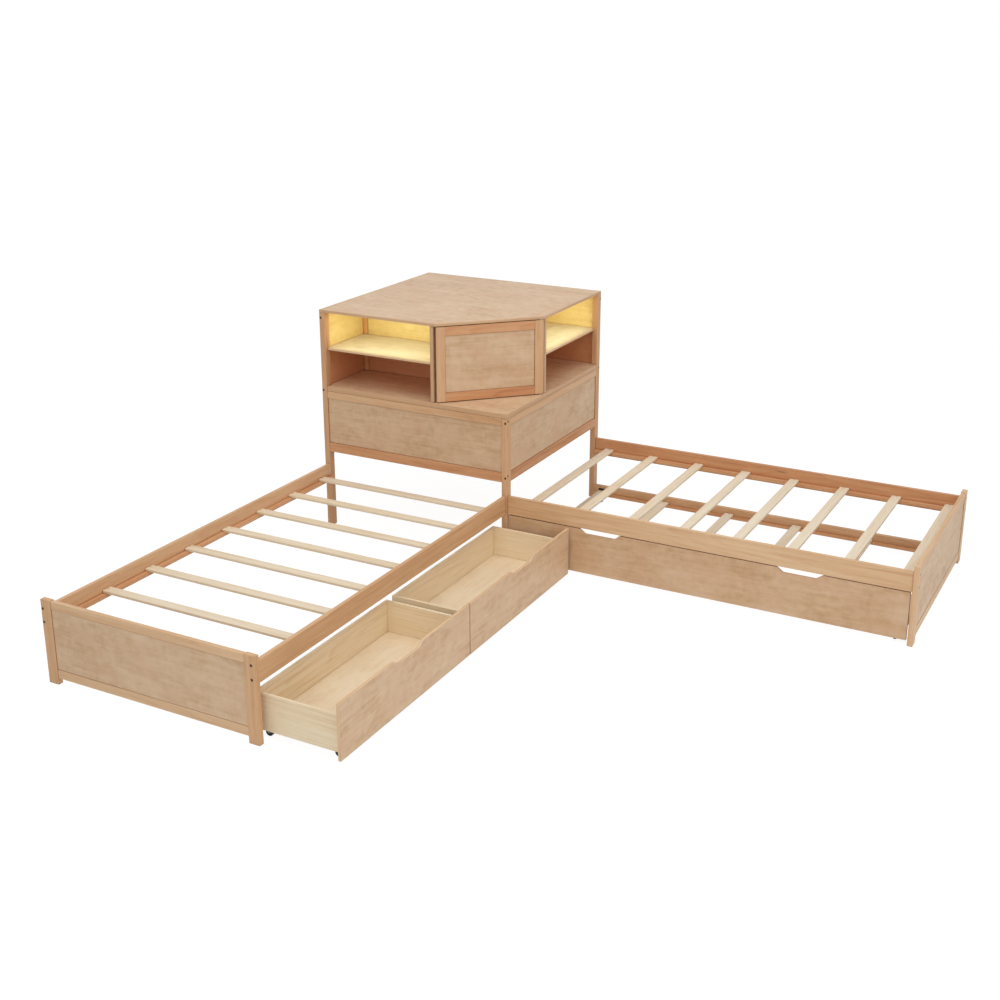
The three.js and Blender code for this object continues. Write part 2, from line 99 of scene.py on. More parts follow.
# Door across the cut-off corner, laid out along the chamfer from its left end. Its span
# leaves the gap beside the left divider as wide as it looks.
DOOR_START = Vector((-0.839, 0.448, 0))
DOOR_TURN = math.radians(45)
DOOR_THICK = 18 * MM
DOOR_MEMBER = 45 * MM
DOOR_SPAN = (4.6 * MM, 549.95 * MM)
DOOR_PANEL_SET = 5 * MM
DOOR_PANEL_THICK = 7 * MM
PIVOT_FROM_END = 12 * MM
PIVOT_BORE = 4.3 * MM
PIVOT_DEPTH = 16.3 * MM

# Backs of the bays: a thin board and an upright batten at its outer end
BACK_THICK = 10 * MM
BATTEN_WIDE = 26 * MM
BATTEN_PROUD = 8 * MM

# Slat decks
LEDGER_WIDE = 18 * MM
SLAT_WIDE = 47 * MM
SLAT_THICK = 12 * MM
SLAT_END_GAP = 1.2 * MM
BED_SLATS = 8
BED_FIRST_SLAT = 62.7 * MM
BED_LAST_GAP = 21.7 * MM
TRUNDLE_SLATS = 6
TRUNDLE_SLAT_END_GAP = 3.7 * MM
SLAT_SCREW_INSET = 9 * MM

# Drawers and trundle
BOX_WALL = 12 * MM
DRAWER_GRIP = (214 * MM, 150 * MM, 20 * MM) # at the top, at the bottom, deep
TRUNDLE_GRIP = (208 * MM, 148 * MM, 21 * MM)
TRUNDLE_GRIP_SHARES = (0.25, 0.75)
GRIP_ROUND = 9 * MM
ROUND_STEPS = 5
TRUNDLE_RAIL_THICK = 20 * MM
TRUNDLE_FLOOR_GAP = 22 * MM

# Casters. A wheel's halves are measured from its middle along the axle.
WHEELS_EACH = 4
WHEEL_RADIUS = 17 * MM
WHEEL_HALF = 6.5 * MM
WHEEL_RIM = 13.2 * MM
WHEEL_HUB = 6.4 * MM
WEB_HALF = 3.2 * MM
MOULDED_EDGE = 0.7 * MM
TREAD_FALL = 1.4 * MM
TREAD_EDGE = 1.2 * MM
RIBS = 6
RIB_HALF = 0.8 * MM
RIB_SET_BACK = 1 * MM
RIB_OVERLAP = 0.2 * MM
RIB_EASE = 0.2 * MM
AXLE_BORE = 3.3 * MM
AXLE_RADIUS = 3 * MM
PIN_CHAMFER = 0.4 * MM
PIN_TIP_SHARE = 0.8
FORK_GAP = 0.7 * MM
FORK_CHEEK = 2.5 * MM
FORK_LENGTH = 24 * MM
FORK_PLATE = 3 * MM
FORK_TOP = 40 * MM
CHEEK_LOW = 11 * MM
CHEEK_ROUND_SHARE = 1.25
CHEEK_STEPS = 8
FLANGE_THICK = 2.5 * MM
FLANGE_TOP = 68 * MM
FLANGE_ROUND = 4 * MM
WHEEL_SIDES = 40

# Fasteners. A head's shares: its rim's radius and fall, and those of the drive hole's mouth.
BOLT_RADIUS = 5.6 * MM
BOLT_HEIGHT = 2 * MM
BOLT_SOCKET = 2.3 * MM
BOLT_SOCKET_DEPTH = 1.8 * MM
BOLT_FLATS = 6
BOLT_BORE = 6.2 * MM
BOLT_BORE_DEPTH = 5 * MM
BOLT_SUNK = 0.4 * MM
SCREW_RADIUS = 3.8 * MM
SCREW_HEIGHT = 1.2 * MM
SCREW_SOCKET = 1.3 * MM
SCREW_SOCKET_DEPTH = 0.9 * MM
SCREW_FLATS = 4
SCREW_BORE = 4.1 * MM
SCREW_BORE_DEPTH = 2 * MM
SCREW_SUNK = 0.25 * MM
SLAT_SCREW_PROUD = 0.35 * MM
HEAD_RIM_SHARES = (0.9, 0.25)
SOCKET_MOUTH_SHARES = (1.25, 0.12)
HEAD_SIDES = 24

rng = random.Random(21)
body_of = {
    node: body
    for body, nodes in frame["record"]["behaviour"]["bodies"].items()
    for node in nodes
}


def linear(code):
    """An sRGB hex colour as linear RGBA"""
    parts = [int(code[i : i + 2], 16) / 255 for i in (0, 2, 4)]
    return [p / 12.92 if p <= 0.04045 else ((p + 0.055) / 1.055) ** 2.4 for p in parts] + [1.0]


def node(tree, kind, links=(), stops=(), **settings):
    """Adds a node, with its settings, its inputs as values or sockets, and a ramp's stops.
    By number, Map Range takes a value at 0, its range at 1 and 2 and what it becomes at 3
    and 4, and a Mix of colours takes its share at 0 and the colours at 6 and 7."""
    made = tree.nodes.new(kind)
    for key, value in settings.items():
        setattr(made, key, value)
    for key, value in dict(links).items():
        if isinstance(value, bpy.types.NodeSocket):
            tree.links.new(value, made.inputs[key])
        else:
            made.inputs[key].default_value = value
    for i, (place, colour) in enumerate(stops):
        ramp = made.color_ramp.elements
        stop = ramp[i] if i < 2 else ramp.new(place)
        stop.position = place
        stop.color = colour
    return made


def finish_material(name):
    material = bpy.data.materials.new(name)
    material.use_nodes = True
    material.node_tree.nodes.clear()
    return material, material.node_tree


# Camera at the photograph's place
CAMERA_PLACE = (2.4614, -5.0459, 2.6775)
CAMERA_TURN = (71.56, 0.02, 28.05)
CAMERA_LENS = 49.43
CAMERA_SHIFT = (-0.0036, -0.0550)
CAMERA_FAR = 200


def set_camera():
    data = bpy.data.cameras.new("camera")
    camera = bpy.data.objects.new("camera", data)
    bpy.context.scene.collection.objects.link(camera)
    camera.location = CAMERA_PLACE
    camera.rotation_euler = [math.radians(a) for a in CAMERA_TURN]
    data.lens = CAMERA_LENS
    data.shift_x, data.shift_y = CAMERA_SHIFT
    data.clip_end = CAMERA_FAR
    bpy.context.scene.camera = camera


set_camera()


# Painted shade: each wood's colour is darkened where other surfaces lie close (ambient occlusion), so each
# joint shows as a fine dark line, and a narrow gap as a darker one
CORNER_REACH = 7 * MM
CORNER_SAMPLES = 4
CORNER_OPEN_SHARE = 0.85 # a place as open as this has none
CORNER_SHADE_TINT = "9B6C4A"
FULL_CORNER_SHADE = 1.0
BARE_CORNER_SHADE = 0.4 # on bare wood, with less painted shade


def with_painted_corner_shade(tree, colour, most):
    open_share = node(tree, "ShaderNodeAmbientOcclusion", {
        "Distance": CORNER_REACH,
    }, samples=CORNER_SAMPLES).outputs["AO"]
    painted_shade_share = node(tree, "ShaderNodeMapRange", {
        0: open_share, 1: 0.0, 2: CORNER_OPEN_SHARE, 3: most, 4: 0.0,
    }).outputs[0]
    return node(tree, "ShaderNodeMix", {
        0: painted_shade_share, 6: colour, 7: linear(CORNER_SHADE_TINT),
    }, data_type="RGBA", blend_type="MULTIPLY").outputs[2]


# Most of a noise lies between these two values
NOISE_LOW = 0.3
NOISE_HIGH = 0.7


def marks_in_wood(tree, grain, layers, roughness):
    """The board's tone, and a noise for each layer. A layer is how long its marks are along
    the board, how wide, their detail and how wavy they are."""
    marks = {"tone": node(tree, "ShaderNodeAttribute", attribute_name="tone").outputs["Fac"]}
    for layer, (long, wide, detail, wavy) in layers.items():
        place = node(tree, "ShaderNodeVectorMath", {
            0: grain, 1: (1 / long, 1 / wide, 1 / wide),
        }, operation="MULTIPLY").outputs[0]
        marks[layer] = node(tree, "ShaderNodeTexNoise", {
            "Vector": place, "Scale": 1.0, "Detail": detail, "Roughness": roughness, "Distortion": wavy,
        }).outputs["Fac"]
    return marks


def with_shades(tree, share, marks, shades):
    """Adds what each mark gives: a shade is its mark, that mark's range and what it becomes"""
    for layer, low, high, to_low, to_high in shades:
        shade = node(tree, "ShaderNodeMapRange", {
            0: marks[layer], 1: low, 2: high, 3: to_low, 4: to_high,
        }).outputs[0]
        share = node(tree, "ShaderNodeMath", {0: share, 1: shade}, operation="ADD").outputs[0]
    return share


def with_veils(tree, colour, marks, veils):
    """Tints where a mark is strong: a veil is its mark, its range, its most and its tint"""
    for layer, low, high, most, tint in veils:
        veil = node(tree, "ShaderNodeMapRange", {
            0: marks[layer], 1: low, 2: high, 3: 0.0, 4: most,
        }).outputs[0]
        colour = node(tree, "ShaderNodeMix", {0: veil, 6: colour, 7: tint}, data_type="RGBA").outputs[2]
    return colour


def finish_surface(tree, colour, mark, roughness, height, relief, values):
    """The shader and its fine relief. roughness is its least and its most, as the mark goes,
    and relief is the height's strength and its real depth."""
    rough = node(tree, "ShaderNodeMapRange", {
        0: mark, 1: NOISE_LOW, 2: NOISE_HIGH, 3: roughness[0], 4: roughness[1],
    }).outputs[0]
    bump = node(tree, "ShaderNodeBump", {
        "Strength": relief[0], "Distance": relief[1], "Height": height,
    }).outputs[0]
    shader = node(tree, "ShaderNodeBsdfPrincipled", {
        "Base Color": colour, "Roughness": rough, "Normal": bump, **values,
    }).outputs[0]
    node(tree, "ShaderNodeOutputMaterial", {"Surface": shader})


WOOD_IOR = 1.5
LACQUERED = 0.5 # roughness under a satin lacquer
BARE = 0.62 # and of bare wood
SAWN = 0.6
GRAIN_DEPTH = 0.06 * MM

# Marks in planed wood and what they give to its shade
PLANED_LAYERS = {
    "patch": (770 * MM, 90 * MM, 2.0, 0.0),
    "band": (450 * MM, 16 * MM, 3.0, 0.4),
    "line": (220 * MM, 3 * MM, 2.0, 0.0),
    "fibre": (38 * MM, 0.7 * MM, 1.0, 0.0),
}
PLANED_SHADES = [
    ("band", NOISE_LOW, NOISE_HIGH, -0.26, 0.28),
    ("patch", NOISE_LOW, NOISE_HIGH, -0.16, 0.26),
    ("tone", 0.0, 1.0, 0.08, 0.34),
]
# One growth ring from its start to the next: pale early wood, then a dark late line
RING_STOPS = [(0.0, 0.0), (0.62, 0.35), (0.88, 1.0), (1.0, 0.0)]
# The trunk was never quite straight: rings wander by some millimetres along the board
WANDER_PER_METRE = (1.1, 7.0, 7.0)
WANDER_REACH = 50 * MM
# Pin knots of 5 to 9 mm, about one in each half metre of board
KNOT_SPACING = (480 * MM, 90 * MM)
KNOTLESS_SHARE = 0.62
KNOT_EDGE_SHARES = (0.03, 0.085) # of the spacing, from dark to clear
KNOT_MOST = 0.75
KNOT_BROWN = "6B4127"


def growth_rings(tree, grain, ring_gap):
    wander = node(tree, "ShaderNodeVectorMath", {
        0: grain, 1: WANDER_PER_METRE,
    }, operation="MULTIPLY").outputs[0]
    wander = node(tree, "ShaderNodeTexNoise", {
        "Vector": wander, "Scale": 1.0, "Detail": 2.0, "Roughness": 0.5,
    }).outputs["Color"]
    steps = (("SUBTRACT", (0.5, 0.5, 0.5)), ("MULTIPLY", (0.0, WANDER_REACH, WANDER_REACH)), ("ADD", grain))
    for operation, amount in steps:
        wander = node(tree, "ShaderNodeVectorMath", {0: wander, 1: amount}, operation=operation).outputs[0]
    across = node(tree, "ShaderNodeVectorMath", {
        0: wander, 1: (0.0, 1.0, 1.0),
    }, operation="MULTIPLY").outputs[0]
    radius = node(tree, "ShaderNodeVectorMath", {0: across}, operation="LENGTH").outputs["Value"]
    ring = node(tree, "ShaderNodeMath", {0: radius, 1: 1.0 / ring_gap}, operation="MULTIPLY").outputs[0]
    ring = node(tree, "ShaderNodeMath", {0: ring}, operation="FRACT").outputs[0]
    stops = [(place, (level, level, level, 1)) for place, level in RING_STOPS]
    return node(tree, "ShaderNodeValToRGB", {0: ring}, stops=stops).outputs["Color"]


def with_knots(tree, colour, grain):
    long, wide = KNOT_SPACING
    dark_to, clear_from = KNOT_EDGE_SHARES
    place = node(tree, "ShaderNodeVectorMath", {
        0: grain, 1: (1 / long, 1 / wide, 1 / wide),
    }, operation="MULTIPLY").outputs[0]
    cell = node(tree, "ShaderNodeTexVoronoi", {"Vector": place, "Scale": 1.0}).outputs
    picked = node(tree, "ShaderNodeSeparateColor", {0: cell["Color"]}).outputs[0]
    picked = node(tree, "ShaderNodeMath", {0: picked, 1: KNOTLESS_SHARE}, operation="GREATER_THAN").outputs[0]
    near = node(tree, "ShaderNodeMapRange", {
        0: cell["Distance"], 1: dark_to, 2: clear_from, 3: KNOT_MOST, 4: 0.0,
    }).outputs[0]
    near = node(tree, "ShaderNodeMath", {0: near, 1: picked}, operation="MULTIPLY").outputs[0]
    return node(tree, "ShaderNodeMix", {
        0: near, 6: colour, 7: linear(KNOT_BROWN),
    }, data_type="RGBA").outputs[2]


# Planed softwood: growth rings run round the board's own length, so its faces show long
# bands and its ends show arcs. The eye sees soft long streaks, a few thin darker ones,
# and a pin knot here and there, under a satin lacquer. Its colours are those of light,
# middling and dark wood and of the streaks.
def planed_wood(name, colours, ring_gap, depth, roughness, knots=False, corner=FULL_CORNER_SHADE):
    material, tree = finish_material(name)
    light, middle, dark, streak = [linear(code) for code in colours]
    grain = node(tree, "ShaderNodeAttribute", attribute_name="grain").outputs["Vector"]
    marks = marks_in_wood(tree, grain, PLANED_LAYERS, roughness=0.55)
    ring = growth_rings(tree, grain, ring_gap)
    share = node(tree, "ShaderNodeMath", {0: ring, 1: depth}, operation="MULTIPLY").outputs[0]
    share = with_shades(tree, share, marks, PLANED_SHADES)
    colour = node(tree, "ShaderNodeValToRGB", {0: share}, stops=[
        (0.0, light), (0.5, middle), (1.0, dark),
    ]).outputs["Color"]
    colour = with_veils(tree, colour, marks, [
        ("line", 0.62, 0.74, 0.5, streak), ("fibre", NOISE_LOW, NOISE_HIGH, 0.16, streak),
    ])
    if knots:
        colour = with_knots(tree, colour, grain)
    # Painted shade in corners and gaps
    colour = with_painted_corner_shade(tree, colour, corner)
    height = node(tree, "ShaderNodeMath", {0: marks["fibre"], 1: ring}, operation="ADD").outputs[0]
    spread = (roughness - 0.05, roughness + 0.06)
    finish_surface(tree, colour, marks["band"], spread, height, (0.35, GRAIN_DEPTH), {"IOR": WOOD_IOR})
    return material


# Marks in a rotary-cut face
ROTARY_LAYERS = {
    "cloud": (220 * MM, 130 * MM, 2.0, 0.6),
    "mottle": (42 * MM, 27 * MM, 2.0, 0.3),
    "shimmer": (16 * MM, 70 * MM, 1.0, 0.0),
    "figure": (620 * MM, 29 * MM, 3.0, 0.8),
    "line": (310 * MM, 5 * MM, 2.0, 0.0),
    "pore": (14 * MM, 0.8 * MM, 1.0, 0.0),
    "blush": (170 * MM, 100 * MM, 1.0, 0.0),
}
# How far the soft ones lighten or darken a face that is fully cloudy
CLOUDY_SPREADS = {"cloud": 0.17, "mottle": 0.15, "shimmer": 0.04}
PORE_BROWN = "8A5F3E"
PAINTED_SHADE_LINE = 947 * MM # at the bays' shelves


# Rotary-cut plywood face, stained and lacquered: the knife follows the rings, so the eye
# sees cloudy pinkish and tan patches a hand wide, faint long lines, and short dark pores.
# Its colours are those of light, middling and dark wood and of the blush.
def veneer(name, colours, roughness, cloud=1.0, low_painted_shade=None, corner=FULL_CORNER_SHADE):
    material, tree = finish_material(name)
    light, middle, dark, blush = [linear(code) for code in colours]
    grain = node(tree, "ShaderNodeAttribute", attribute_name="grain").outputs["Vector"]
    marks = marks_in_wood(tree, grain, ROTARY_LAYERS, roughness=0.5)
    shades = [
        (layer, NOISE_LOW, NOISE_HIGH, -spread * cloud, spread * cloud)
        for layer, spread in CLOUDY_SPREADS.items()
    ] + [
        ("figure", NOISE_LOW, NOISE_HIGH, -0.13, 0.13), ("line", 0.35, 0.65, -0.07, 0.07),
        ("tone", 0.0, 1.0, -0.05, 0.05),
    ]
    share = with_shades(tree, 0.5, marks, shades)
    colour = node(tree, "ShaderNodeValToRGB", {0: share}, stops=[
        (0.1, light), (0.5, middle), (0.9, dark),
    ]).outputs["Color"]
    colour = with_veils(tree, colour, marks, [
        ("blush", 0.45, 0.75, 0.45 * cloud, blush), ("pore", 0.66, 0.78, 0.3, linear(PORE_BROWN)),
    ])
    # Below the shelves' line the colour is multiplied darker and redder: painted shade of the lower bays
    if low_painted_shade:
        place = node(tree, "ShaderNodeTexCoord").outputs["Object"]
        up = node(tree, "ShaderNodeSeparateXYZ", {0: place}).outputs[2]
        below = node(tree, "ShaderNodeMath", {0: up, 1: PAINTED_SHADE_LINE}, operation="LESS_THAN").outputs[0]
        colour = node(tree, "ShaderNodeMix", {
            0: below, 6: colour, 7: linear(low_painted_shade),
        }, data_type="RGBA", blend_type="MULTIPLY").outputs[2]
    # Painted shade in corners and gaps
    colour = with_painted_corner_shade(tree, colour, corner)
    height = node(tree, "ShaderNodeMath", {0: marks["pore"], 1: marks["line"]}, operation="ADD").outputs[0]
    spread = (roughness - 0.04, roughness + 0.05)
    finish_surface(tree, colour, marks["mottle"], spread, height, (0.3, GRAIN_DEPTH), {"IOR": WOOD_IOR})
    return material


BLOTCH = 9 * MM
GRIT_DEPTH = 0.05 * MM


# Moulded or plated surface: a clean colour that goes over to a worn one in faint blotches,
# and a fine grit. A metal keeps the default IOR.
def hard_surface(name, colours, roughness, grit, values):
    material, tree = finish_material(name)
    clean, worn = [linear(code) for code in colours]
    place = node(tree, "ShaderNodeTexCoord").outputs["Object"]
    blotch = node(tree, "ShaderNodeTexNoise", {
        "Vector": place, "Scale": 1 / BLOTCH, "Detail": 3.0,
    }).outputs["Fac"]
    grain = node(tree, "ShaderNodeTexNoise", {
        "Vector": place, "Scale": 1 / grit, "Detail": 2.0,
    }).outputs["Fac"]
    colour = node(tree, "ShaderNodeMix", {0: blotch, 6: clean, 7: worn}, data_type="RGBA").outputs[2]
    spread = (roughness - 0.06, roughness + 0.06)
    finish_surface(tree, colour, blotch, spread, grain, (0.25, GRIT_DEPTH), values)
    return material


LED_SPACING = 16.7 * MM
BETWEEN_LEDS = 0.8


# Frosted polycarbonate over a warm LED strip: it glows evenly, a little brighter at each LED.
# Its colours are the cover's own, the glow between two LEDs and the glow at one.
def lit_cover(name, colours, roughness, ior, strength):
    material, tree = finish_material(name)
    cover, between, at_led = [linear(code) for code in colours]
    grain = node(tree, "ShaderNodeAttribute", attribute_name="grain").outputs["Vector"]
    along = node(tree, "ShaderNodeSeparateXYZ", {0: grain}).outputs[0]
    wave = node(tree, "ShaderNodeMath", {
        0: along, 1: 2 * math.pi / LED_SPACING,
    }, operation="MULTIPLY").outputs[0]
    wave = node(tree, "ShaderNodeMath", {0: wave}, operation="COSINE").outputs[0]
    level = node(tree, "ShaderNodeMapRange", {0: wave, 1: -1.0, 2: 1.0, 3: BETWEEN_LEDS, 4: 1.0}).outputs[0]
    lit = node(tree, "ShaderNodeMix", {0: level, 6: between, 7: at_led}, data_type="RGBA").outputs[2]
    shader = node(tree, "ShaderNodeBsdfPrincipled", {
        "Base Color": cover, "Roughness": roughness, "IOR": ior,
        "Emission Color": lit, "Emission Strength": strength,
    }).outputs[0]
    node(tree, "ShaderNodeOutputMaterial", {"Surface": shader})
    return material


# The pine comes from several trees: most boards are middling, some pale, some reddish
PINE = planed_wood(
    "lacquered pine, planed", ("E2BB92", "D6AA7F", "C08F67", "A5714A"),
    ring_gap=7.5 * MM, depth=0.26, roughness=LACQUERED, knots=True,
)
PINE_LIGHT = planed_wood(
    "lacquered pale pine, planed", ("E9CBA6", "DFBA92", "CC9F75", "B08259"),
    ring_gap=8 * MM, depth=0.22, roughness=LACQUERED, knots=True,
)
PINE_RED = planed_wood(
    "lacquered reddish pine, planed", ("DFAC80", "D2996C", "BA7C53", "9C623D"),
    ring_gap=7 * MM, depth=0.28, roughness=LACQUERED, knots=True,
)
PALE_PINE = planed_wood(
    "untreated pine slat, planed", ("F6EBD7", "EFE0C7", "E0CCAA", "C9AD88"),
    ring_gap=6 * MM, depth=0.28, roughness=BARE, corner=BARE_CORNER_SHADE,
)
BOX_PINE = planed_wood(
    "untreated paulownia board, planed", ("F9ECD1", "F4E3C4", "E4C99F", "CAA97C"),
    ring_gap=9 * MM, depth=0.32, roughness=BARE, corner=BARE_CORNER_SHADE,
)
PLY = veneer(
    "lacquered plywood, rotary cut", ("E1C7AA", "D7B997", "C49F7A", "D7AF90"), roughness=LACQUERED,
)
# The same plywood made darker: painted shade, for the trundle front under the bed
PLY_PAINTED_SHADE = veneer(
    "lacquered plywood, rotary cut, darkened as painted shade", ("DBBEA0", "D0AF8B", "BC956E", "D0A584"),
    roughness=LACQUERED,
)
# A thin strip of close-grained wood over the plywood's edge
LIPPING = planed_wood(
    "lacquered lipping, planed", ("D9B48E", "CFA67F", "BE926A", "A3754F"),
    ring_gap=5 * MM, depth=0.2, roughness=LACQUERED,
)
# Cut ends of the plywood, which take more stain and look dark. On the ends of the drawer and trundle fronts
# this dark colour is also painted shade of the gaps beside them, and on the door's pine edge beside its gap
# it is painted shade alone.
DARK_ENDS_AND_GAP_SHADE = planed_wood(
    "plywood end, sawn and lacquered, dark as painted gap shade", ("A97C55", "98694A", "80543A", "6B432C"),
    ring_gap=2.4 * MM, depth=0.4, roughness=SAWN,
)
# The bays are lined with a honey-coloured face, whose warm yellow is also the strips' glow painted in, as the
# lamps in the bays are nearly white; below the shelves it is multiplied darker and redder, painted shade of
# the lower bays
LINING_AND_PAINTED_GLOW = veneer(
    "honey-stained plywood, rotary cut", ("F2D99A", "EBCD8C", "D9B674", "EBC383"),
    roughness=LACQUERED, cloud=0.7, low_painted_shade="E0B9C4",
)
SHELF_PLY = veneer(
    "thinly stained plywood, rotary cut", ("E2D3BC", "D9C9AF", "C8B292", "DAC0A4"),
    roughness=LACQUERED, cloud=0.8,
)
LINING_PINE_AND_PAINTED_GLOW = planed_wood(
    "honey-stained pine, planed, with painted bay glow", ("E6B681", "DAA36F", "C28957", "A66D3F"),
    ring_gap=7.5 * MM, depth=0.26, roughness=LACQUERED,
)
PALE_PLY = veneer(
    "untreated plywood, rotary cut", ("F8EDD8", "F3E4C9", "E5D0AE", "F0DCBE"),
    roughness=BARE, cloud=0.7, corner=BARE_CORNER_SHADE,
)
# A satin black that shows the mould's fine grit
BLACK = hard_surface(
    "black nylon, moulded", ("1B1A19", "262423"), roughness=0.45, grit=0.35 * MM, values={"IOR": 1.53},
)
# Plated heads catch the light on their rims and go dark in their drive holes
BRONZE = hard_surface(
    "bronze-plated steel, pressed", ("6A4B30", "4A321F"),
    roughness=0.42, grit=0.2 * MM, values={"Metallic": 0.9},
)
BRASS = hard_surface(
    "brass-plated steel, pressed", ("C9AE83", "B5976A"),
    roughness=0.4, grit=0.2 * MM, values={"Metallic": 0.9},
)
STEEL = hard_surface(
    "zinc-plated steel, turned", ("BFC1C4", "A9ACB0"),
    roughness=0.34, grit=0.15 * MM, values={"Metallic": 1.0},
)
COVER = lit_cover(
    "frosted light cover, extruded", ("F4E6C6", "FFC768", "FFE0A0"), roughness=0.45, ior=1.58, strength=4.0,
)


# Boards. Each one is a prism of its outline through its thinnest axis, with sanded edges,
# a random piece of the tree (its grain) and a random tone.
def cut_bores(bm, bores):
    """Cuts round bores: each is (mouth, direction inwards, radius, depth)"""
    mesh = bpy.data.meshes.new("bored")
    bm.to_mesh(mesh)
    bm.free()
    host = bpy.data.objects.new("bored", mesh)
    bpy.context.scene.collection.objects.link(host)
    cutter_bm = bmesh.new()
    for mouth, inwards, radius, depth in bores:
        inwards = Vector(inwards).normalized()
        overrun = radius
        turn = inwards.to_track_quat("Z", "Y").to_matrix().to_4x4()
        middle = Vector(mouth) + inwards * (depth - overrun) / 2
        bmesh.ops.create_cone(
            cutter_bm, cap_ends=True, segments=HEAD_SIDES, radius1=radius, radius2=radius,
            depth=depth + overrun, matrix=Matrix.Translation(middle) @ turn,
        )
    cutter_mesh = bpy.data.meshes.new("cutter")
    cutter_bm.to_mesh(cutter_mesh)
    cutter_bm.free()
    cutter = bpy.data.objects.new("cutter", cutter_mesh)
    bpy.context.scene.collection.objects.link(cutter)
    boolean = host.modifiers.new("bores", "BOOLEAN")
    boolean.operation = "DIFFERENCE"
    boolean.solver = "EXACT"
    boolean.object = cutter
    graph = bpy.context.evaluated_depsgraph_get()
    result = bpy.data.meshes.new_from_object(host.evaluated_get(graph))
    bored = bmesh.new()
    bored.from_mesh(result)
    for thing in (host, cutter):
        bpy.data.objects.remove(thing)
    for thing in (mesh, cutter_mesh, result):
        bpy.data.meshes.remove(thing)
    return bored


def board(
    lo, hi, run=None, outline=None, ease=TIMBER_EASE, turn=None, bores=(), face=0, edge=None, lined=(),
):
    """One board between two corners. run is the axis of its grain, its longest if not given;
    outline is its shape on its two wide axes; face and edge are numbers of its materials;
    an edge of its own has its grain along the edge. lined lists other finishes, each as the
    way that its face looks and its number."""
    lo, hi = Vector(lo), Vector(hi)
    size = hi - lo
    thin = min(range(3), key=lambda i: size[i])
    run = max(range(3), key=lambda i: size[i]) if run is None else run
    u, v = [i for i in range(3) if i != thin]
    side = 3 - thin - run
    if outline is None:
        outline = [(lo[u], lo[v]), (hi[u], lo[v]), (hi[u], hi[v]), (lo[u], hi[v])]
    through = Vector((0, 0, 0))
    through[thin] = 1
    bm = bmesh.new()
    corners = []
    for a, b in outline:
        point = [0.0, 0.0, 0.0]
        point[u], point[v], point[thin] = a, b, lo[thin]
        corners.append(bm.verts.new(point))
    base = bm.faces.new(corners)
    risen = bmesh.ops.extrude_face_region(bm, geom=[base])["geom"]
    tops = [g for g in risen if isinstance(g, bmesh.types.BMVert)]
    bmesh.ops.translate(bm, vec=through * size[thin], verts=tops)
    bmesh.ops.recalc_face_normals(bm, faces=bm.faces[:])
    sharp = [e for e in bm.edges if e.calc_face_angle(0) > EASED_TURN]
    bmesh.ops.bevel(
        bm, geom=sharp, offset=ease, offset_type="OFFSET", segments=EASE_STEPS,
        profile=0.5, affect="EDGES", clamp_overlap=True,
    )
    if bores:
        bm = cut_bores(bm, bores)
    bm.normal_update()

    middle = (lo + hi) / 2
    pith = rng.choice((-1, 1)) * rng.uniform(PITH_NEAR, PITH_FAR)
    shift = Vector((rng.uniform(0, TRUNK_LENGTH), rng.uniform(-PITH_ASIDE, PITH_ASIDE), pith))
    slope = rng.uniform(-GRAIN_SLOPE, GRAIN_SLOPE)
    tone = rng.random()
    parts = {
        "points": [v.co.copy() for v in bm.verts], "faces": [], "material": [], "smooth": [], "grain": [],
        "tone": tone,
    }
    bm.verts.index_update()
    for f in bm.faces:
        flat = max(abs(c) for c in f.normal) > SQUARE_ON
        banded = edge is not None and abs(f.normal[thin]) <= SQUARE_ON
        parts["faces"].append([v.index for v in f.verts])
        number = edge if banded else face
        for way, other in lined:
            number = other if f.normal.dot(way) > LOOKS_THAT_WAY else number
        parts["material"].append(number)
        parts["smooth"].append(not flat)
        along = through.cross(f.normal)
        follows_edge = banded and along.length > BELONGS_TO_EDGE
        along.normalize()
        for corner in f.verts:
            p = corner.co - middle
            if follows_edge:
                place = Vector((p.dot(along), 0.0, p[thin]))
            else:
                place = Vector((p[run], p[side] + slope * p[run], p[thin] + slope * p[run]))
            parts["grain"].append(place + shift)
    bm.free()
    if turn is not None:
        parts["points"] = [turn @ p for p in parts["points"]]
    return parts


def turned_part(rings, sides, place, material, closed=False):
    """A part turned on a lathe: each ring is (radius, height, flats), and a ring with flats
    belongs to a drive hole. The rings of a closed part go all the way round its wall."""
    points, faces = [], []
    for radius, height, flats in rings:
        for i in range(sides):
            angle = 2 * math.pi * i / sides
            reach = radius
            if flats:
                step = 2 * math.pi / flats
                reach = radius / math.cos((angle % step) - step / 2)
            points.append(place @ Vector((reach * math.cos(angle), reach * math.sin(angle), height)))
    count = len(rings)
    for r in range(count if closed else count - 1):
        low, high = r * sides, ((r + 1) % count) * sides
        for i in range(sides):
            j = (i + 1) % sides
            faces.append([low + i, low + j, high + j, high + i])
    if not closed:
        faces.append(list(range(sides))[::-1])
        faces.append([(count - 1) * sides + i for i in range(sides)])
    return {
        "points": points, "faces": faces, "material": [material] * len(faces),
        "smooth": [False] * len(faces), "grain": [points[i] for f in faces for i in f],
        "tone": MIDDLE_TONE,
    }


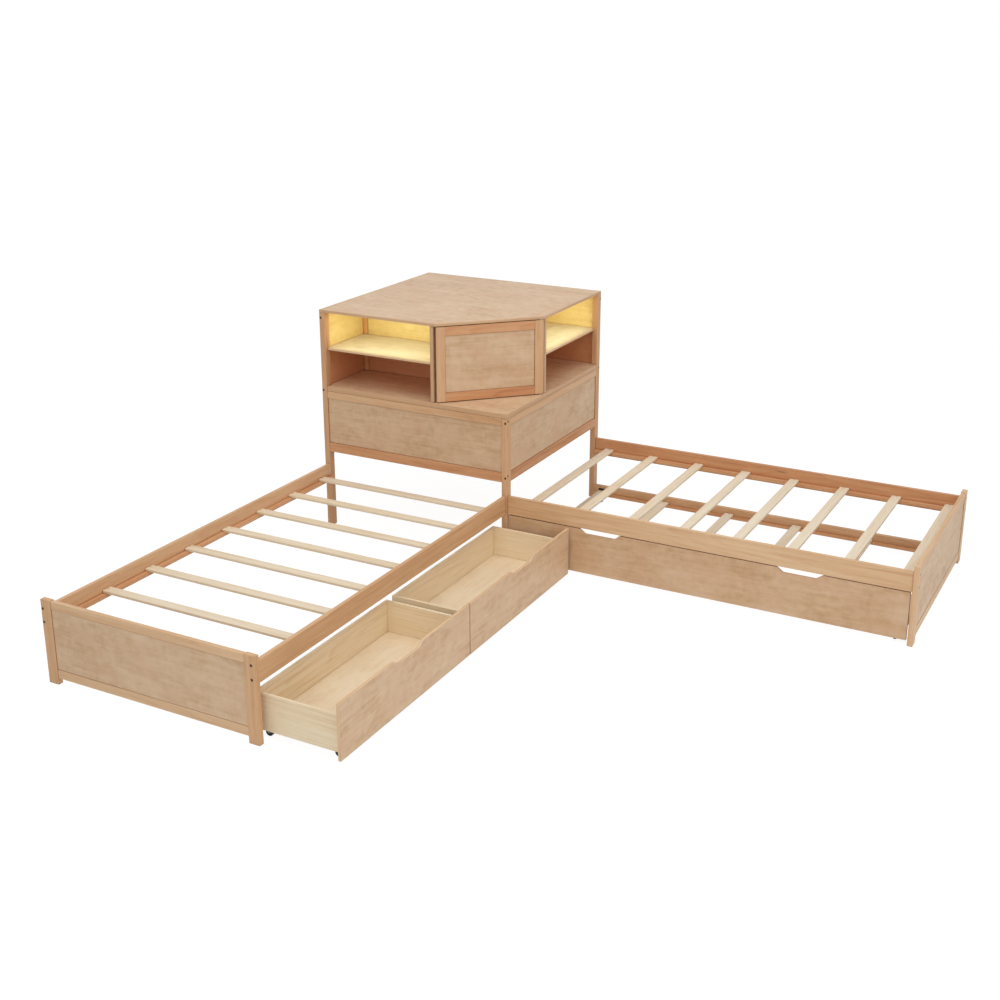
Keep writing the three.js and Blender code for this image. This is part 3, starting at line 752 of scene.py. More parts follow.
def joined(name, parts, materials):
    """One mesh object at the origin from several parts"""
    points, faces, grain, material, smooth, tone = [], [], [], [], [], []
    for part in parts:
        start = len(points)
        points += part["points"]
        faces += [[start + i for i in f] for f in part["faces"]]
        grain += part["grain"]
        material += part["material"]
        smooth += part["smooth"]
        tone += [part["tone"]] * len(part["points"])
    mesh = bpy.data.meshes.new(name)
    mesh.from_pydata(points, [], faces)
    mesh.polygons.foreach_set("material_index", material)
    mesh.polygons.foreach_set("use_smooth", smooth)
    grain_store = mesh.attributes.new("grain", "FLOAT_VECTOR", "CORNER")
    grain_store.data.foreach_set("vector", [c for place in grain for c in place])
    mesh.attributes.new("tone", "FLOAT", "POINT").data.foreach_set("value", tone)
    for m in materials:
        mesh.materials.append(m)
    mesh.update()
    piece = bpy.data.objects.new(name, mesh)
    bpy.context.scene.collection.objects.link(piece)
    return piece


def mount(piece, body, slot, *nodes):
    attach(piece, body)
    if nodes:
        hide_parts(*nodes)


def rounded(outline, rounds):
    """An outline with arcs at some of its corners: rounds maps a corner's number to a radius"""
    result = []
    count = len(outline)
    for i, corner in enumerate(outline):
        radius = rounds.get(i)
        corner = Vector(corner)
        if not radius:
            result.append(tuple(corner))
            continue
        before = (Vector(outline[i - 1]) - corner).normalized()
        after = (Vector(outline[(i + 1) % count]) - corner).normalized()
        half = before.angle(after) / 2
        reach = radius / math.tan(half)
        centre = corner + (before + after).normalized() * radius / math.sin(half)
        start = corner + before * reach - centre
        end = corner + after * reach - centre
        sweep = start.angle_signed(end)
        for k in range(ROUND_STEPS + 1):
            angle = -sweep * k / ROUND_STEPS
            c, s = math.cos(angle), math.sin(angle)
            result.append((centre.x + start.x * c - start.y * s, centre.y + start.x * s + start.y * c))
    return result


# The corner unit's own square on plan, and where its posts' notches start
unit_lo, unit_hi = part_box("hutch_board")
left_x, right_x = unit_lo.x, unit_hi.x
front_y, rear_y = unit_lo.y, unit_hi.y
post_left, post_right = left_x + NOTCH_X, right_x - NOTCH_X
post_front, post_rear = front_y + NOTCH_Y, rear_y - NOTCH_Y
SOUTH, EAST, UP = Vector((0, -1, 0)), Vector((1, 0, 0)), Vector((0, 0, 1))

# Bolts, each as (mouth, direction out of the wood): heights above the floor, and insets from
# the post's own edge
TALL_POST_INSET = 8 * MM
TALL_POST_HEIGHTS = (735 * MM, 1110 * MM)
FRONT_POST_INSET = 10 * MM
FRONT_SOUTH_HEIGHTS = (432 * MM, 709 * MM)
FRONT_EAST_HEIGHTS = (443 * MM, 719 * MM)
FOOT_HEIGHTS = (271 * MM, 330 * MM)
FOOT_INNER_INSET = 19 * MM
FOOT_OUTER_INSET = 9 * MM
corner_bolts = {
    "corner_post_left": [
        (Vector((left_x + TALL_POST_INSET, front_y, z)), SOUTH) for z in TALL_POST_HEIGHTS
    ],
    "corner_post_front": [
        (Vector((right_x - FRONT_POST_INSET, front_y, z)), SOUTH) for z in FRONT_SOUTH_HEIGHTS
    ] + [
        (Vector((right_x, front_y + FRONT_POST_INSET, z)), EAST) for z in FRONT_EAST_HEIGHTS
    ],
    "corner_post_right": [
        (Vector((right_x, rear_y - TALL_POST_INSET, z)), EAST) for z in TALL_POST_HEIGHTS
    ],
}

# Screws in the hutch board, from the unit's left front corner
DIVIDER_SCREWS = ((649 * MM, 72 * MM), (992 * MM, 415 * MM))
WALL_SCREWS = (124 * MM, 532 * MM, 940 * MM)
WALL_SCREW_INSET = 15 * MM
top_screws = [Vector((left_x + x, front_y + y, unit_hi.z)) for x, y in DIVIDER_SCREWS]
top_screws += [Vector((left_x + x, rear_y - WALL_SCREW_INSET, unit_hi.z)) for x in WALL_SCREWS]
top_screws += [Vector((left_x + WALL_SCREW_INSET, front_y + y, unit_hi.z)) for y in WALL_SCREWS]


def bolt_bores(bolts):
    return [(mouth, -out, BOLT_BORE, BOLT_BORE_DEPTH) for mouth, out in bolts]


# Corner unit, and the panels of both footboards
def corner_unit():
    for node_name in ("corner_post_left", "corner_post_front", "corner_post_right", "corner_post_rear"):
        lo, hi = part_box(node_name)
        post = board(lo, hi, bores=bolt_bores(corner_bolts.get(node_name, [])))
        mount(joined(node_name + "_timber", [post], [PINE]), "bed", "frame_wood", node_name)
    for side in ("left", "right"):
        for member in ("top_rail", "bottom_rail"):
            timber(f"{side}_headboard_{member}", PINE if member == "top_rail" else PINE_RED)
    panels = [
        "left_headboard_panel", "right_headboard_panel", "left_wall", "rear_wall",
        "left_divider", "right_divider", "left_footboard_panel", "right_footboard_panel",
    ]
    runs = {"left_wall": 1, "rear_wall": 0}
    inwards = {"left_wall": EAST, "rear_wall": SOUTH, "left_divider": -EAST, "right_divider": -SOUTH}
    for node_name in panels:
        lo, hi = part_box(node_name)
        lined = [(inwards[node_name], 2)] if node_name in inwards else []
        sheet = board(lo, hi, run=runs.get(node_name), ease=PANEL_EASE, edge=1, lined=lined)
        mount(joined(node_name + "_ply", [sheet], [PLY, LIPPING, LINING_AND_PAINTED_GLOW]), "bed", "panel_wood", node_name)


def desk_and_hutch():
    lo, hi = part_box("desk_board")
    wall_left, wall_rear = left_x + WALL_NOTCH, rear_y - WALL_NOTCH
    outline = [
        (post_left, front_y), (right_x, front_y), (right_x, post_rear), (post_right, post_rear),
        (post_right, wall_rear), (post_left, wall_rear), (post_left, post_rear),
        (wall_left, post_rear), (wall_left, post_front), (post_left, post_front),
    ]
    desk = board(lo, hi, run=0, outline=outline, ease=DESK_EASE, edge=1)
    mount(joined("desk_board_ply", [desk], [PLY, LIPPING]), "bed", "panel_wood", "desk_board")

    lo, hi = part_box("hutch_board")
    chamfer = right_x - DOOR_START.x
    outline = [
        (left_x, front_y), (DOOR_START.x, front_y), (right_x, front_y + chamfer), (right_x, rear_y),
        (left_x, rear_y),
    ]
    bores = [(place, -UP, SCREW_BORE, SCREW_BORE_DEPTH) for place in top_screws]
    hutch = board(lo, hi, run=0, outline=outline, ease=TIMBER_EASE, bores=bores, edge=1)
    mount(joined("hutch_board_ply", [hutch], [PLY, LIPPING]), "bed", "panel_wood", "hutch_board")


# Bays: the left one opens to the south and the right one to the east
def bay_back(side):
    lo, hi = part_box(f"{side}_bay_back")
    batten_lo, batten_hi, sheet_lo, sheet_hi = lo.copy(), hi.copy(), lo.copy(), hi.copy()
    if side == "left":
        batten_hi.x = sheet_lo.x = lo.x + BATTEN_WIDE
        sheet_lo.y = lo.y + BATTEN_PROUD
        sheet_hi.y = lo.y + BATTEN_PROUD + BACK_THICK
    else:
        batten_lo.y = sheet_hi.y = hi.y - BATTEN_WIDE
        sheet_lo.x = hi.x - BATTEN_PROUD - BACK_THICK
        sheet_hi.x = hi.x - BATTEN_PROUD
    run, out = (0, SOUTH) if side == "left" else (1, EAST)
    parts = [
        board(batten_lo, batten_hi, face=1),
        board(sheet_lo, sheet_hi, run=run, ease=SHEET_EASE, lined=[(out, 2)]),
    ]
    back = joined(f"{side}_bay_back_ply", parts, [PLY, LINING_PINE_AND_PAINTED_GLOW, LINING_AND_PAINTED_GLOW])
    mount(back, "bed", "panel_wood", f"{side}_bay_back")


def bay_shelf(side):
    """A shelf, notched round the outer post and round the batten of its bay's back"""
    lo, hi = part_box(f"{side}_shelf")
    if side == "left":
        batten_end, batten_face = lo.x + BATTEN_WIDE + SEAM, hi.y - BATTEN_PROUD
        outline = [
            (post_left, lo.y), (hi.x, lo.y), (hi.x, hi.y), (batten_end, hi.y),
            (batten_end, batten_face), (lo.x, batten_face), (lo.x, post_front), (post_left, post_front),
        ]
    else:
        batten_end, batten_face = hi.y - BATTEN_WIDE - SEAM, lo.x + BATTEN_PROUD
        outline = [
            (hi.x, lo.y), (hi.x, post_rear), (post_right, post_rear), (post_right, hi.y),
            (batten_face, hi.y), (batten_face, batten_end), (lo.x, batten_end), (lo.x, lo.y),
        ]
    run = 0 if side == "left" else 1
    shelf = board(lo, hi, run=run, outline=outline, ease=SHEET_EASE, edge=1, lined=[(-UP, 2)])
    piece = joined(f"{side}_shelf_ply", [shelf], [SHELF_PLY, PINE_LIGHT, LINING_AND_PAINTED_GLOW])
    mount(piece, "bed", "panel_wood", f"{side}_shelf")


def bay_light(side):
    lo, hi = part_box(f"{side}_bay_light")
    strip = joined(f"{side}_bay_light_cover", [board(lo, hi, ease=STRIP_EASE)], [COVER])
    mount(strip, "bed", "light_cover", f"{side}_bay_light")


def door():
    turn = Matrix.Translation(DOOR_START) @ Matrix.Rotation(DOOR_TURN, 4, "Z")
    lo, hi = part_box("door_frame")
    low, top = lo.z, hi.z
    left, right = DOOR_SPAN
    panel_left, panel_right = left + DOOR_MEMBER, right - DOOR_MEMBER
    panel_low, panel_top = low + DOOR_MEMBER, top - DOOR_MEMBER
    pin_along, pin_in = right - PIVOT_FROM_END, DOOR_THICK / 2
    pins = [
        (Vector((pin_along, pin_in, low)), UP, PIVOT_BORE, PIVOT_DEPTH),
        (Vector((pin_along, pin_in, top)), -UP, PIVOT_BORE, PIVOT_DEPTH),
    ]
    parts = [
        # The stile's edge beside the gap takes the dark end colour as painted shade
        board((left, 0, low), (panel_left, DOOR_THICK, top), turn=turn, lined=[(-EAST, 2)]),
        board((panel_right, 0, low), (right, DOOR_THICK, top), turn=turn, bores=pins),
        board((panel_left, 0, low), (panel_right, DOOR_THICK, panel_low), turn=turn, face=1),
        board((panel_left, 0, panel_top), (panel_right, DOOR_THICK, top), turn=turn, face=1),
    ]
    mount(joined("door_frame_timber", parts, [PINE, PINE_RED, DARK_ENDS_AND_GAP_SHADE]), "door", "frame_wood", "door_frame")
    sheet = board(
        (panel_left + SEAM, DOOR_PANEL_SET, panel_low + SEAM),
        (panel_right - SEAM, DOOR_PANEL_SET + DOOR_PANEL_THICK, panel_top - SEAM),
        run=0, ease=PANEL_EASE, turn=turn, edge=1,
    )
    mount(joined("door_panel_ply", [sheet], [PLY, LIPPING]), "door", "panel_wood", "door_panel")
    for node_name in ("door_pivot_low", "door_pivot_top"):
        pivot_materials = frame["nodes"][node_name].data.materials
        pivot_materials.clear()
        pivot_materials.append(STEEL)


# Beds. What lies along X on the left one lies along Y on the right one: thin and wide are
# the axes of a footboard.
def footboard(side):
    lo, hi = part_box(f"{side}_footboard_frame")
    thin, wide = (1, 0) if side == "left" else (0, 1)
    outer_face = lo[1] if side == "left" else hi[0]
    out = SOUTH if side == "left" else EAST
    spans = [(lo[wide], lo[wide] + FOOT_POST_WIDE), (hi[wide] - FOOT_POST_WIDE, hi[wide])]
    insets = (FOOT_OUTER_INSET, FOOT_INNER_INSET)
    if side == "right":
        insets = insets[::-1]
    bolts = []
    for (a, b), inset, from_end in zip(spans, insets, (0, 1)):
        for z in FOOT_HEIGHTS:
            place = Vector((0, 0, z))
            place[thin] = outer_face
            place[wide] = b - inset if from_end else a + inset
            bolts.append((place, out))

    def member(span, up, set_back=0.0, bores=(), number=0):
        low, high = Vector((0, 0, up[0])), Vector((0, 0, up[1]))
        low[wide], high[wide] = span
        low[thin], high[thin] = lo[thin] + set_back, hi[thin] - set_back
        return board(low, high, bores=bores, face=number)

    between = (spans[0][1], spans[1][0])
    top = hi.z - FOOT_RAIL_DROP
    parts = [
        member(spans[0], (lo.z, hi.z), bores=bolt_bores(bolts[:2])),
        member(spans[1], (lo.z, hi.z), bores=bolt_bores(bolts[2:])),
        member(between, (top - FOOT_TOP_RAIL, top), FOOT_RAIL_SET, number=1),
        member(between, (FOOT_BOTTOM_GAP, FOOT_BOTTOM_GAP + FOOT_BOTTOM_RAIL), FOOT_RAIL_SET, number=1),
    ]
    timbers = joined(f"{side}_footboard_timber", parts, [PINE if side == "left" else PINE_LIGHT, PINE_LIGHT])
    mount(timbers, "bed", "frame_wood", f"{side}_footboard_frame")
    return bolts


def timber(node_name, pine=PINE):
    lo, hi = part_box(node_name)
    piece = joined(node_name + "_timber", [board(lo, hi)], [pine])
    mount(piece, body_of[node_name], "frame_wood", node_name)


def new_tree(name, inputs, output):
    """An empty node tree with named inputs of each kind and one geometry that it gives out"""
    tree = bpy.data.node_groups.new(name, "GeometryNodeTree")
    for kind, names in inputs.items():
        for socket_name in names:
            tree.interface.new_socket(socket_name, in_out="INPUT", socket_type="NodeSocket" + kind)
    tree.interface.new_socket(output, in_out="OUTPUT", socket_type="NodeSocketGeometry")
    return tree


# Slats: one node tree sweeps a round-edged section along a slat and repeats it
def slat_tree():
    tree = new_tree("slat deck", {
        "Float": ("Length", "Width", "Thickness", "Edge Radius", "Turn"), "Vector": ("First", "Step"),
        "Int": ("Count", "Seed"), "Material": ("Material",),
    }, "Slats")

    given = node(tree, "NodeGroupInput").outputs
    half = node(tree, "ShaderNodeMath", {0: given["Length"], 1: 0.5}, operation="MULTIPLY").outputs[0]
    minus = node(tree, "ShaderNodeMath", {0: half, 1: -1.0}, operation="MULTIPLY").outputs[0]
    start = node(tree, "ShaderNodeCombineXYZ", {0: minus}).outputs[0]
    end = node(tree, "ShaderNodeCombineXYZ", {0: half}).outputs[0]
    line = node(tree, "GeometryNodeCurvePrimitiveLine", {"Start": start, "End": end}).outputs[0]
    section = node(tree, "GeometryNodeCurvePrimitiveQuadrilateral", {
        "Width": given["Width"], "Height": given["Thickness"],
    }).outputs[0]
    section = node(tree, "GeometryNodeFilletCurve", {
        "Curve": section, "Count": EASE_STEPS + 1, "Radius": given["Edge Radius"],
    }, mode="POLY").outputs[0]
    swept = node(tree, "GeometryNodeCurveToMesh", {
        "Curve": line, "Profile Curve": section, "Fill Caps": True,
    }).outputs[0]
    place = node(tree, "GeometryNodeInputPosition").outputs[0]
    swept = node(tree, "GeometryNodeStoreNamedAttribute", {
        "Geometry": swept, "Name": "grain", "Value": place,
    }, data_type="FLOAT_VECTOR", domain="POINT").outputs[0]
    row = node(tree, "GeometryNodeMeshLine", {
        "Count": given["Count"], "Start Location": given["First"], "Offset": given["Step"],
    }, mode="OFFSET").outputs[0]
    angle = node(tree, "ShaderNodeCombineXYZ", {2: given["Turn"]}).outputs[0]
    slats = node(tree, "GeometryNodeInstanceOnPoints", {
        "Points": row, "Instance": swept, "Rotation": angle,
    }).outputs[0]
    tone = node(tree, "FunctionNodeRandomValue", {8: given["Seed"]}, data_type="FLOAT").outputs[1]
    slats = node(tree, "GeometryNodeStoreNamedAttribute", {
        "Geometry": slats, "Name": "tone", "Value": tone,
    }, data_type="FLOAT", domain="INSTANCE").outputs[0]
    shift = node(tree, "FunctionNodeRandomValue", {
        0: (0.0, -PITH_ASIDE, PITH_NEAR), 1: (TRUNK_LENGTH, PITH_ASIDE, PITH_FAR), 8: given["Seed"],
    }, data_type="FLOAT_VECTOR").outputs[0]
    slats = node(tree, "GeometryNodeStoreNamedAttribute", {
        "Geometry": slats, "Name": "shift", "Value": shift,
    }, data_type="FLOAT_VECTOR", domain="INSTANCE").outputs[0]
    slats = node(tree, "GeometryNodeRealizeInstances", {"Geometry": slats}).outputs[0]
    own, moved = [
        node(tree, "GeometryNodeInputNamedAttribute", {"Name": name}, data_type="FLOAT_VECTOR").outputs[0]
        for name in ("grain", "shift")
    ]
    total = node(tree, "ShaderNodeVectorMath", {0: own, 1: moved}, operation="ADD").outputs[0]
    slats = node(tree, "GeometryNodeStoreNamedAttribute", {
        "Geometry": slats, "Name": "grain", "Value": total,
    }, data_type="FLOAT_VECTOR", domain="POINT").outputs[0]
    slats = node(tree, "GeometryNodeSetMaterial", {
        "Geometry": slats, "Material": given["Material"],
    }).outputs[0]
    node(tree, "NodeGroupOutput", {"Slats": slats})
    return tree


# Heads of bolts and screws: one node tree sets a head on each marked place, aimed outwards
def head_tree():
    tree = new_tree("fastener heads", {
        "Object": ("Places", "Head"), "Float": ("Sunk",), "Int": ("Seed",), "Material": ("Material",),
    }, "Heads")

    given = node(tree, "NodeGroupInput").outputs
    places = node(tree, "GeometryNodeObjectInfo", {"Object": given["Places"]}).outputs["Geometry"]
    head = node(tree, "GeometryNodeObjectInfo", {"Object": given["Head"]}).outputs["Geometry"]
    aim = node(tree, "GeometryNodeInputNamedAttribute", {"Name": "aim"}, data_type="FLOAT_VECTOR").outputs[0]
    turned = node(tree, "FunctionNodeAlignRotationToVector", {"Vector": aim}, axis="Z").outputs[0]
    spin = node(tree, "FunctionNodeRandomValue", {
        3: 2 * math.pi, 8: given["Seed"],
    }, data_type="FLOAT").outputs[1]
    spin = node(tree, "FunctionNodeAxisAngleToRotation", {"Axis": (0, 0, 1), "Angle": spin}).outputs[0]
    turned = node(tree, "FunctionNodeRotateRotation", {
        0: turned, 1: spin,
    }, rotation_space="LOCAL").outputs[0]
    sunk = node(tree, "ShaderNodeMath", {0: given["Sunk"], 1: -1.0}, operation="MULTIPLY").outputs[0]
    inwards = node(tree, "ShaderNodeVectorMath", {0: aim, "Scale": sunk}, operation="SCALE").outputs[0]
    places = node(tree, "GeometryNodeSetPosition", {"Geometry": places, "Offset": inwards}).outputs[0]
    heads = node(tree, "GeometryNodeInstanceOnPoints", {
        "Points": places, "Instance": head, "Rotation": turned,
    }).outputs[0]
    heads = node(tree, "GeometryNodeRealizeInstances", {"Geometry": heads}).outputs[0]
    heads = node(tree, "GeometryNodeSetMaterial", {
        "Geometry": heads, "Material": given["Material"],
    }).outputs[0]
    node(tree, "NodeGroupOutput", {"Heads": heads})
    return tree


def grown(name, tree, values):
    """Runs a node tree on an empty mesh and keeps what it makes as a plain mesh"""
    piece = bpy.data.objects.new(name, bpy.data.meshes.new(name))
    bpy.context.scene.collection.objects.link(piece)
    modifier = piece.modifiers.new("tree", "NODES")
    modifier.node_group = tree
    sockets = {
        item.name: item.identifier for item in tree.interface.items_tree
        if item.item_type == "SOCKET" and item.in_out == "INPUT"
    }
    for key, value in values.items():
        modifier[sockets[key]] = value
    bpy.context.view_layer.update()
    plain = bpy.data.meshes.new_from_object(piece.evaluated_get(bpy.context.evaluated_depsgraph_get()))
    piece.modifiers.clear()
    piece.data = plain
    return piece


SLATS = slat_tree()
SLAT_SIZES = {"Width": SLAT_WIDE, "Thickness": SLAT_THICK, "Edge Radius": SLAT_EASE}
HEADS = head_tree()


def marked_places(name, places):
    """A mesh with a point on each place and the way that its fastener faces"""
    mesh = bpy.data.meshes.new(name)
    mesh.from_pydata([p for p, _ in places], [], [])
    aims = mesh.attributes.new("aim", "FLOAT_VECTOR", "POINT")
    aims.data.foreach_set("vector", [c for _, aim in places for c in aim])
    marks = bpy.data.objects.new(name, mesh)
    bpy.context.scene.collection.objects.link(marks)
    return marks


def head_shape(name, radius, height, socket, depth, flats):
    """A low head with a chamfered rim and a drive hole in its middle, seated at height 0"""
    rim, rim_fall = HEAD_RIM_SHARES
    mouth, mouth_fall = SOCKET_MOUTH_SHARES
    rings = [
        (radius, -height, 0), (radius, -rim_fall * height, 0), (rim * radius, 0.0, 0),
        (mouth * socket, 0.0, 0), (socket, -mouth_fall * height, flats), (socket, -depth, flats),
    ]
    return joined(name, [turned_part(rings, HEAD_SIDES, Matrix.Identity(4), 0)], [BRONZE])


def fasteners(name, places, head, sunk, material, body, seed):
    marks = marked_places(name + "_marks", places)
    heads = grown(name, HEADS, {
        "Places": marks, "Head": head, "Sunk": sunk, "Seed": seed, "Material": material,
    })
    bpy.data.objects.remove(marks)
    mount(heads, body, "steel")


bolt_head = head_shape("bolt_head", BOLT_RADIUS, BOLT_HEIGHT, BOLT_SOCKET, BOLT_SOCKET_DEPTH, BOLT_FLATS)
screw_head = head_shape(
    "screw_head", SCREW_RADIUS, SCREW_HEIGHT, SCREW_SOCKET, SCREW_SOCKET_DEPTH, SCREW_FLATS,
)


def slat_deck(side, seed):
    """Eight slats on two ledgers, between the bed's rails"""
    lo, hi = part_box(f"{side}_slats")
    thin, wide = (1, 0) if side == "left" else (0, 1)
    length = hi[wide] - lo[wide] - 2 * SLAT_END_GAP
    reach = hi[thin] - lo[thin]
    head_end, away = (hi[thin], -1) if side == "left" else (lo[thin], 1)
    step = (reach - BED_FIRST_SLAT - SLAT_WIDE - BED_LAST_GAP) / (BED_SLATS - 1)
    first = Vector((0, 0, hi.z - SLAT_THICK / 2))
    first[thin] = head_end + away * (BED_FIRST_SLAT + SLAT_WIDE / 2)
    first[wide] = (lo[wide] + hi[wide]) / 2
    stride = Vector((0, 0, 0))
    stride[thin] = away * step
    slats = grown(f"{side}_slats_planed", SLATS, {
        "Length": length, **SLAT_SIZES, "First": first, "Step": stride, "Count": BED_SLATS,
        "Turn": 0.0 if side == "left" else math.pi / 2, "Seed": seed, "Material": PALE_PINE,
    })
    mount(slats, "bed", "slat_wood", f"{side}_slats")

    parts = []
    for low_end in (True, False):
        low, high = lo.copy(), hi.copy()
        high.z = hi.z - SLAT_THICK
        if low_end:
            high[wide] = lo[wide] + LEDGER_WIDE
        else:
            low[wide] = hi[wide] - LEDGER_WIDE
        parts.append(board(low, high))
    mount(joined(f"{side}_ledgers_timber", parts, [PINE_RED]), "bed", "frame_wood")

    screws = []
    for i in range(BED_SLATS):
        for end in (-1, 1):
            place = first + stride * i
            place.z = hi.z
            place[wide] += end * (length / 2 - SLAT_SCREW_INSET)
            screws.append((place, UP))
    return screws


def gripped_front(low, high, bottom, top, middles, grip):
    """The outline of a front from low to high, with a rounded grip in its top edge at each
    middle. The middles run from high to low."""
    wide, narrow, deep = grip
    outline = [(low, bottom), (high, bottom), (high, top)]
    for middle in middles:
        outline += [
            (middle + wide / 2, top), (middle + narrow / 2, top - deep),
            (middle - narrow / 2, top - deep), (middle - wide / 2, top),
        ]
    outline.append((low, top))
    return rounded(outline, {i: GRIP_ROUND for i in range(3, len(outline) - 1)})


# Drawers: the front overlaps the box, which is open towards it
def drawer(number):
    name = f"drawer_{number}"
    lo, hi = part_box(f"{name}_front")
    outline = gripped_front(lo.y, hi.y, lo.z, hi.z, [(lo.y + hi.y) / 2], DRAWER_GRIP)
    # The front's ends take the dark end colour: sawn plywood, and painted shade of the gaps beside it
    ends = [(-SOUTH, 2)] if number == 1 else [(SOUTH, 2), (-SOUTH, 2)]
    front = board(lo, hi, run=1, outline=outline, ease=FRONT_EASE, edge=1, lined=ends)
    finishes = [PLY, PINE_LIGHT, DARK_ENDS_AND_GAP_SHADE]
    mount(joined(f"{name}_front_ply", [front], finishes), name, "panel_wood", f"{name}_front")

    lo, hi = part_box(f"{name}_box")
    parts = [
        board((lo.x, lo.y + BOX_WALL, lo.z), (lo.x + BOX_WALL, hi.y - BOX_WALL, hi.z), ease=BOX_EASE),
        board((lo.x, lo.y, lo.z), (hi.x, lo.y + BOX_WALL, hi.z), ease=BOX_EASE),
        board((lo.x, hi.y - BOX_WALL, lo.z), (hi.x, hi.y, hi.z), ease=BOX_EASE),
    ]
    mount(joined(f"{name}_box_boards", parts, [BOX_PINE]), name, "slat_wood", f"{name}_box")

    lo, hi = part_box(f"{name}_floor")
    floor = board((lo.x, lo.y, FORK_TOP), (hi.x, hi.y, hi.z), run=1, ease=SHEET_EASE)
    mount(joined(f"{name}_floor_ply", [floor], [PALE_PLY]), name, "slat_wood", f"{name}_floor")

    forks = []
    for i in range(WHEELS_EACH):
        wheel_lo, wheel_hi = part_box(f"{name}_wheel_{i + 1}")
        centre = (wheel_lo + wheel_hi) / 2
        forks += fork(centre)
        wheel(f"{name}_wheel_{i + 1}", centre, "Y")
    mount(joined(f"{name}_casters", forks, [BLACK, STEEL]), name, "black_plastic")


def cheek_outline(x, z, top, half_top):
    """A cheek narrows from its plate down to a round end about the axle"""
    fall = z - CHEEK_LOW
    wide = fall * CHEEK_ROUND_SHARE
    outline = [(x - half_top, top), (x - half_top, z + fall)]
    for k in range(CHEEK_STEPS + 1):
        angle = math.pi + math.pi * k / CHEEK_STEPS
        outline.append((x + wide * math.cos(angle), z + fall * math.sin(angle)))
    return outline + [(x + half_top, z + fall), (x + half_top, top)]


def fork(centre):
    """Two cheeks and a plate over a wheel whose axle lies along Y, and its pin"""
    half = WHEEL_HALF + FORK_GAP
    x, y, z = centre
    reach = FORK_LENGTH / 2
    plate_low = FORK_TOP - FORK_PLATE
    outline = cheek_outline(x, z, plate_low, reach)
    parts = [board(
        (x - reach, y - half - FORK_CHEEK, plate_low), (x + reach, y + half + FORK_CHEEK, FORK_TOP),
        ease=BLACK_EASE,
    )]
    for from_y in (y - half - FORK_CHEEK, y + half):
        parts.append(board(
            (x - reach, from_y, CHEEK_LOW), (x + reach, from_y + FORK_CHEEK, plate_low),
            outline=outline, ease=BLACK_EASE,
        ))
    parts.append(pin(centre, "Y", half + FORK_CHEEK))
    return parts


# How a part turned about Z is laid along its axle
AXLE_TURNS = {
    "X": Matrix.Rotation(math.radians(90), 4, "Y"),
    "Y": Matrix.Rotation(math.radians(-90), 4, "X"),
}


def pin(centre, axle, reach):
    tip = PIN_TIP_SHARE * AXLE_RADIUS
    rings = [
        (tip, -reach, 0), (AXLE_RADIUS, -reach + PIN_CHAMFER, 0),
        (AXLE_RADIUS, reach - PIN_CHAMFER, 0), (tip, reach, 0),
    ]
    return turned_part(rings, HEAD_SIDES, Matrix.Translation(centre) @ AXLE_TURNS[axle], 1)


def wheel(node_name, centre, axle):
    """A moulded wheel: tyre, web set back on both sides, hub and ribs"""
    aim = Matrix.Translation(centre) @ AXLE_TURNS[axle]
    half, edge = WHEEL_HALF, MOULDED_EDGE
    side = [
        (AXLE_BORE, half), (WHEEL_HUB - edge, half), (WHEEL_HUB, half - edge), (WHEEL_HUB, WEB_HALF),
        (WHEEL_RIM, WEB_HALF), (WHEEL_RIM, half - edge), (WHEEL_RIM + edge, half),
        (WHEEL_RADIUS - TREAD_EDGE, half), (WHEEL_RADIUS, half - TREAD_FALL),
    ]
    rings = [(r, -z, 0) for r, z in side] + [(r, z, 0) for r, z in reversed(side)]
    parts = [turned_part(rings, WHEEL_SIDES, aim, 0, closed=True)]
    for k in range(RIBS):
        turn = aim @ Matrix.Rotation(2 * math.pi * k / RIBS, 4, "Z")
        for way in (-1, 1):
            low, high = sorted((way * (WEB_HALF - RIB_OVERLAP), way * (half - RIB_SET_BACK)))
            parts.append(board(
                (WHEEL_HUB - RIB_OVERLAP, -RIB_HALF, low), (WHEEL_RIM + RIB_OVERLAP, RIB_HALF, high),
                ease=RIB_EASE, turn=turn,
            ))
    mount(joined(node_name + "_moulded", parts, [BLACK]), body_of[node_name], "black_plastic", node_name)


# Trundle
def trundle_front():
    lo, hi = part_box("trundle_front")
    middles = [lo.x + share * (hi.x - lo.x) for share in reversed(TRUNDLE_GRIP_SHARES)]
    outline = gripped_front(lo.x, hi.x, lo.z, hi.z, middles, TRUNDLE_GRIP)
    # The front's ends take the dark end colour: sawn plywood, and painted shade of the gaps beside it
    ends = [(EAST, 2), (-EAST, 2)]
    front = board(lo, hi, run=0, outline=outline, ease=FRONT_EASE, edge=1, lined=ends)
    # Its face is the darker plywood: painted shade under the bed
    finishes = [PLY_PAINTED_SHADE, LIPPING, DARK_ENDS_AND_GAP_SHADE]
    mount(joined("trundle_front_ply", [front], finishes), "trundle", "panel_wood", "trundle_front")


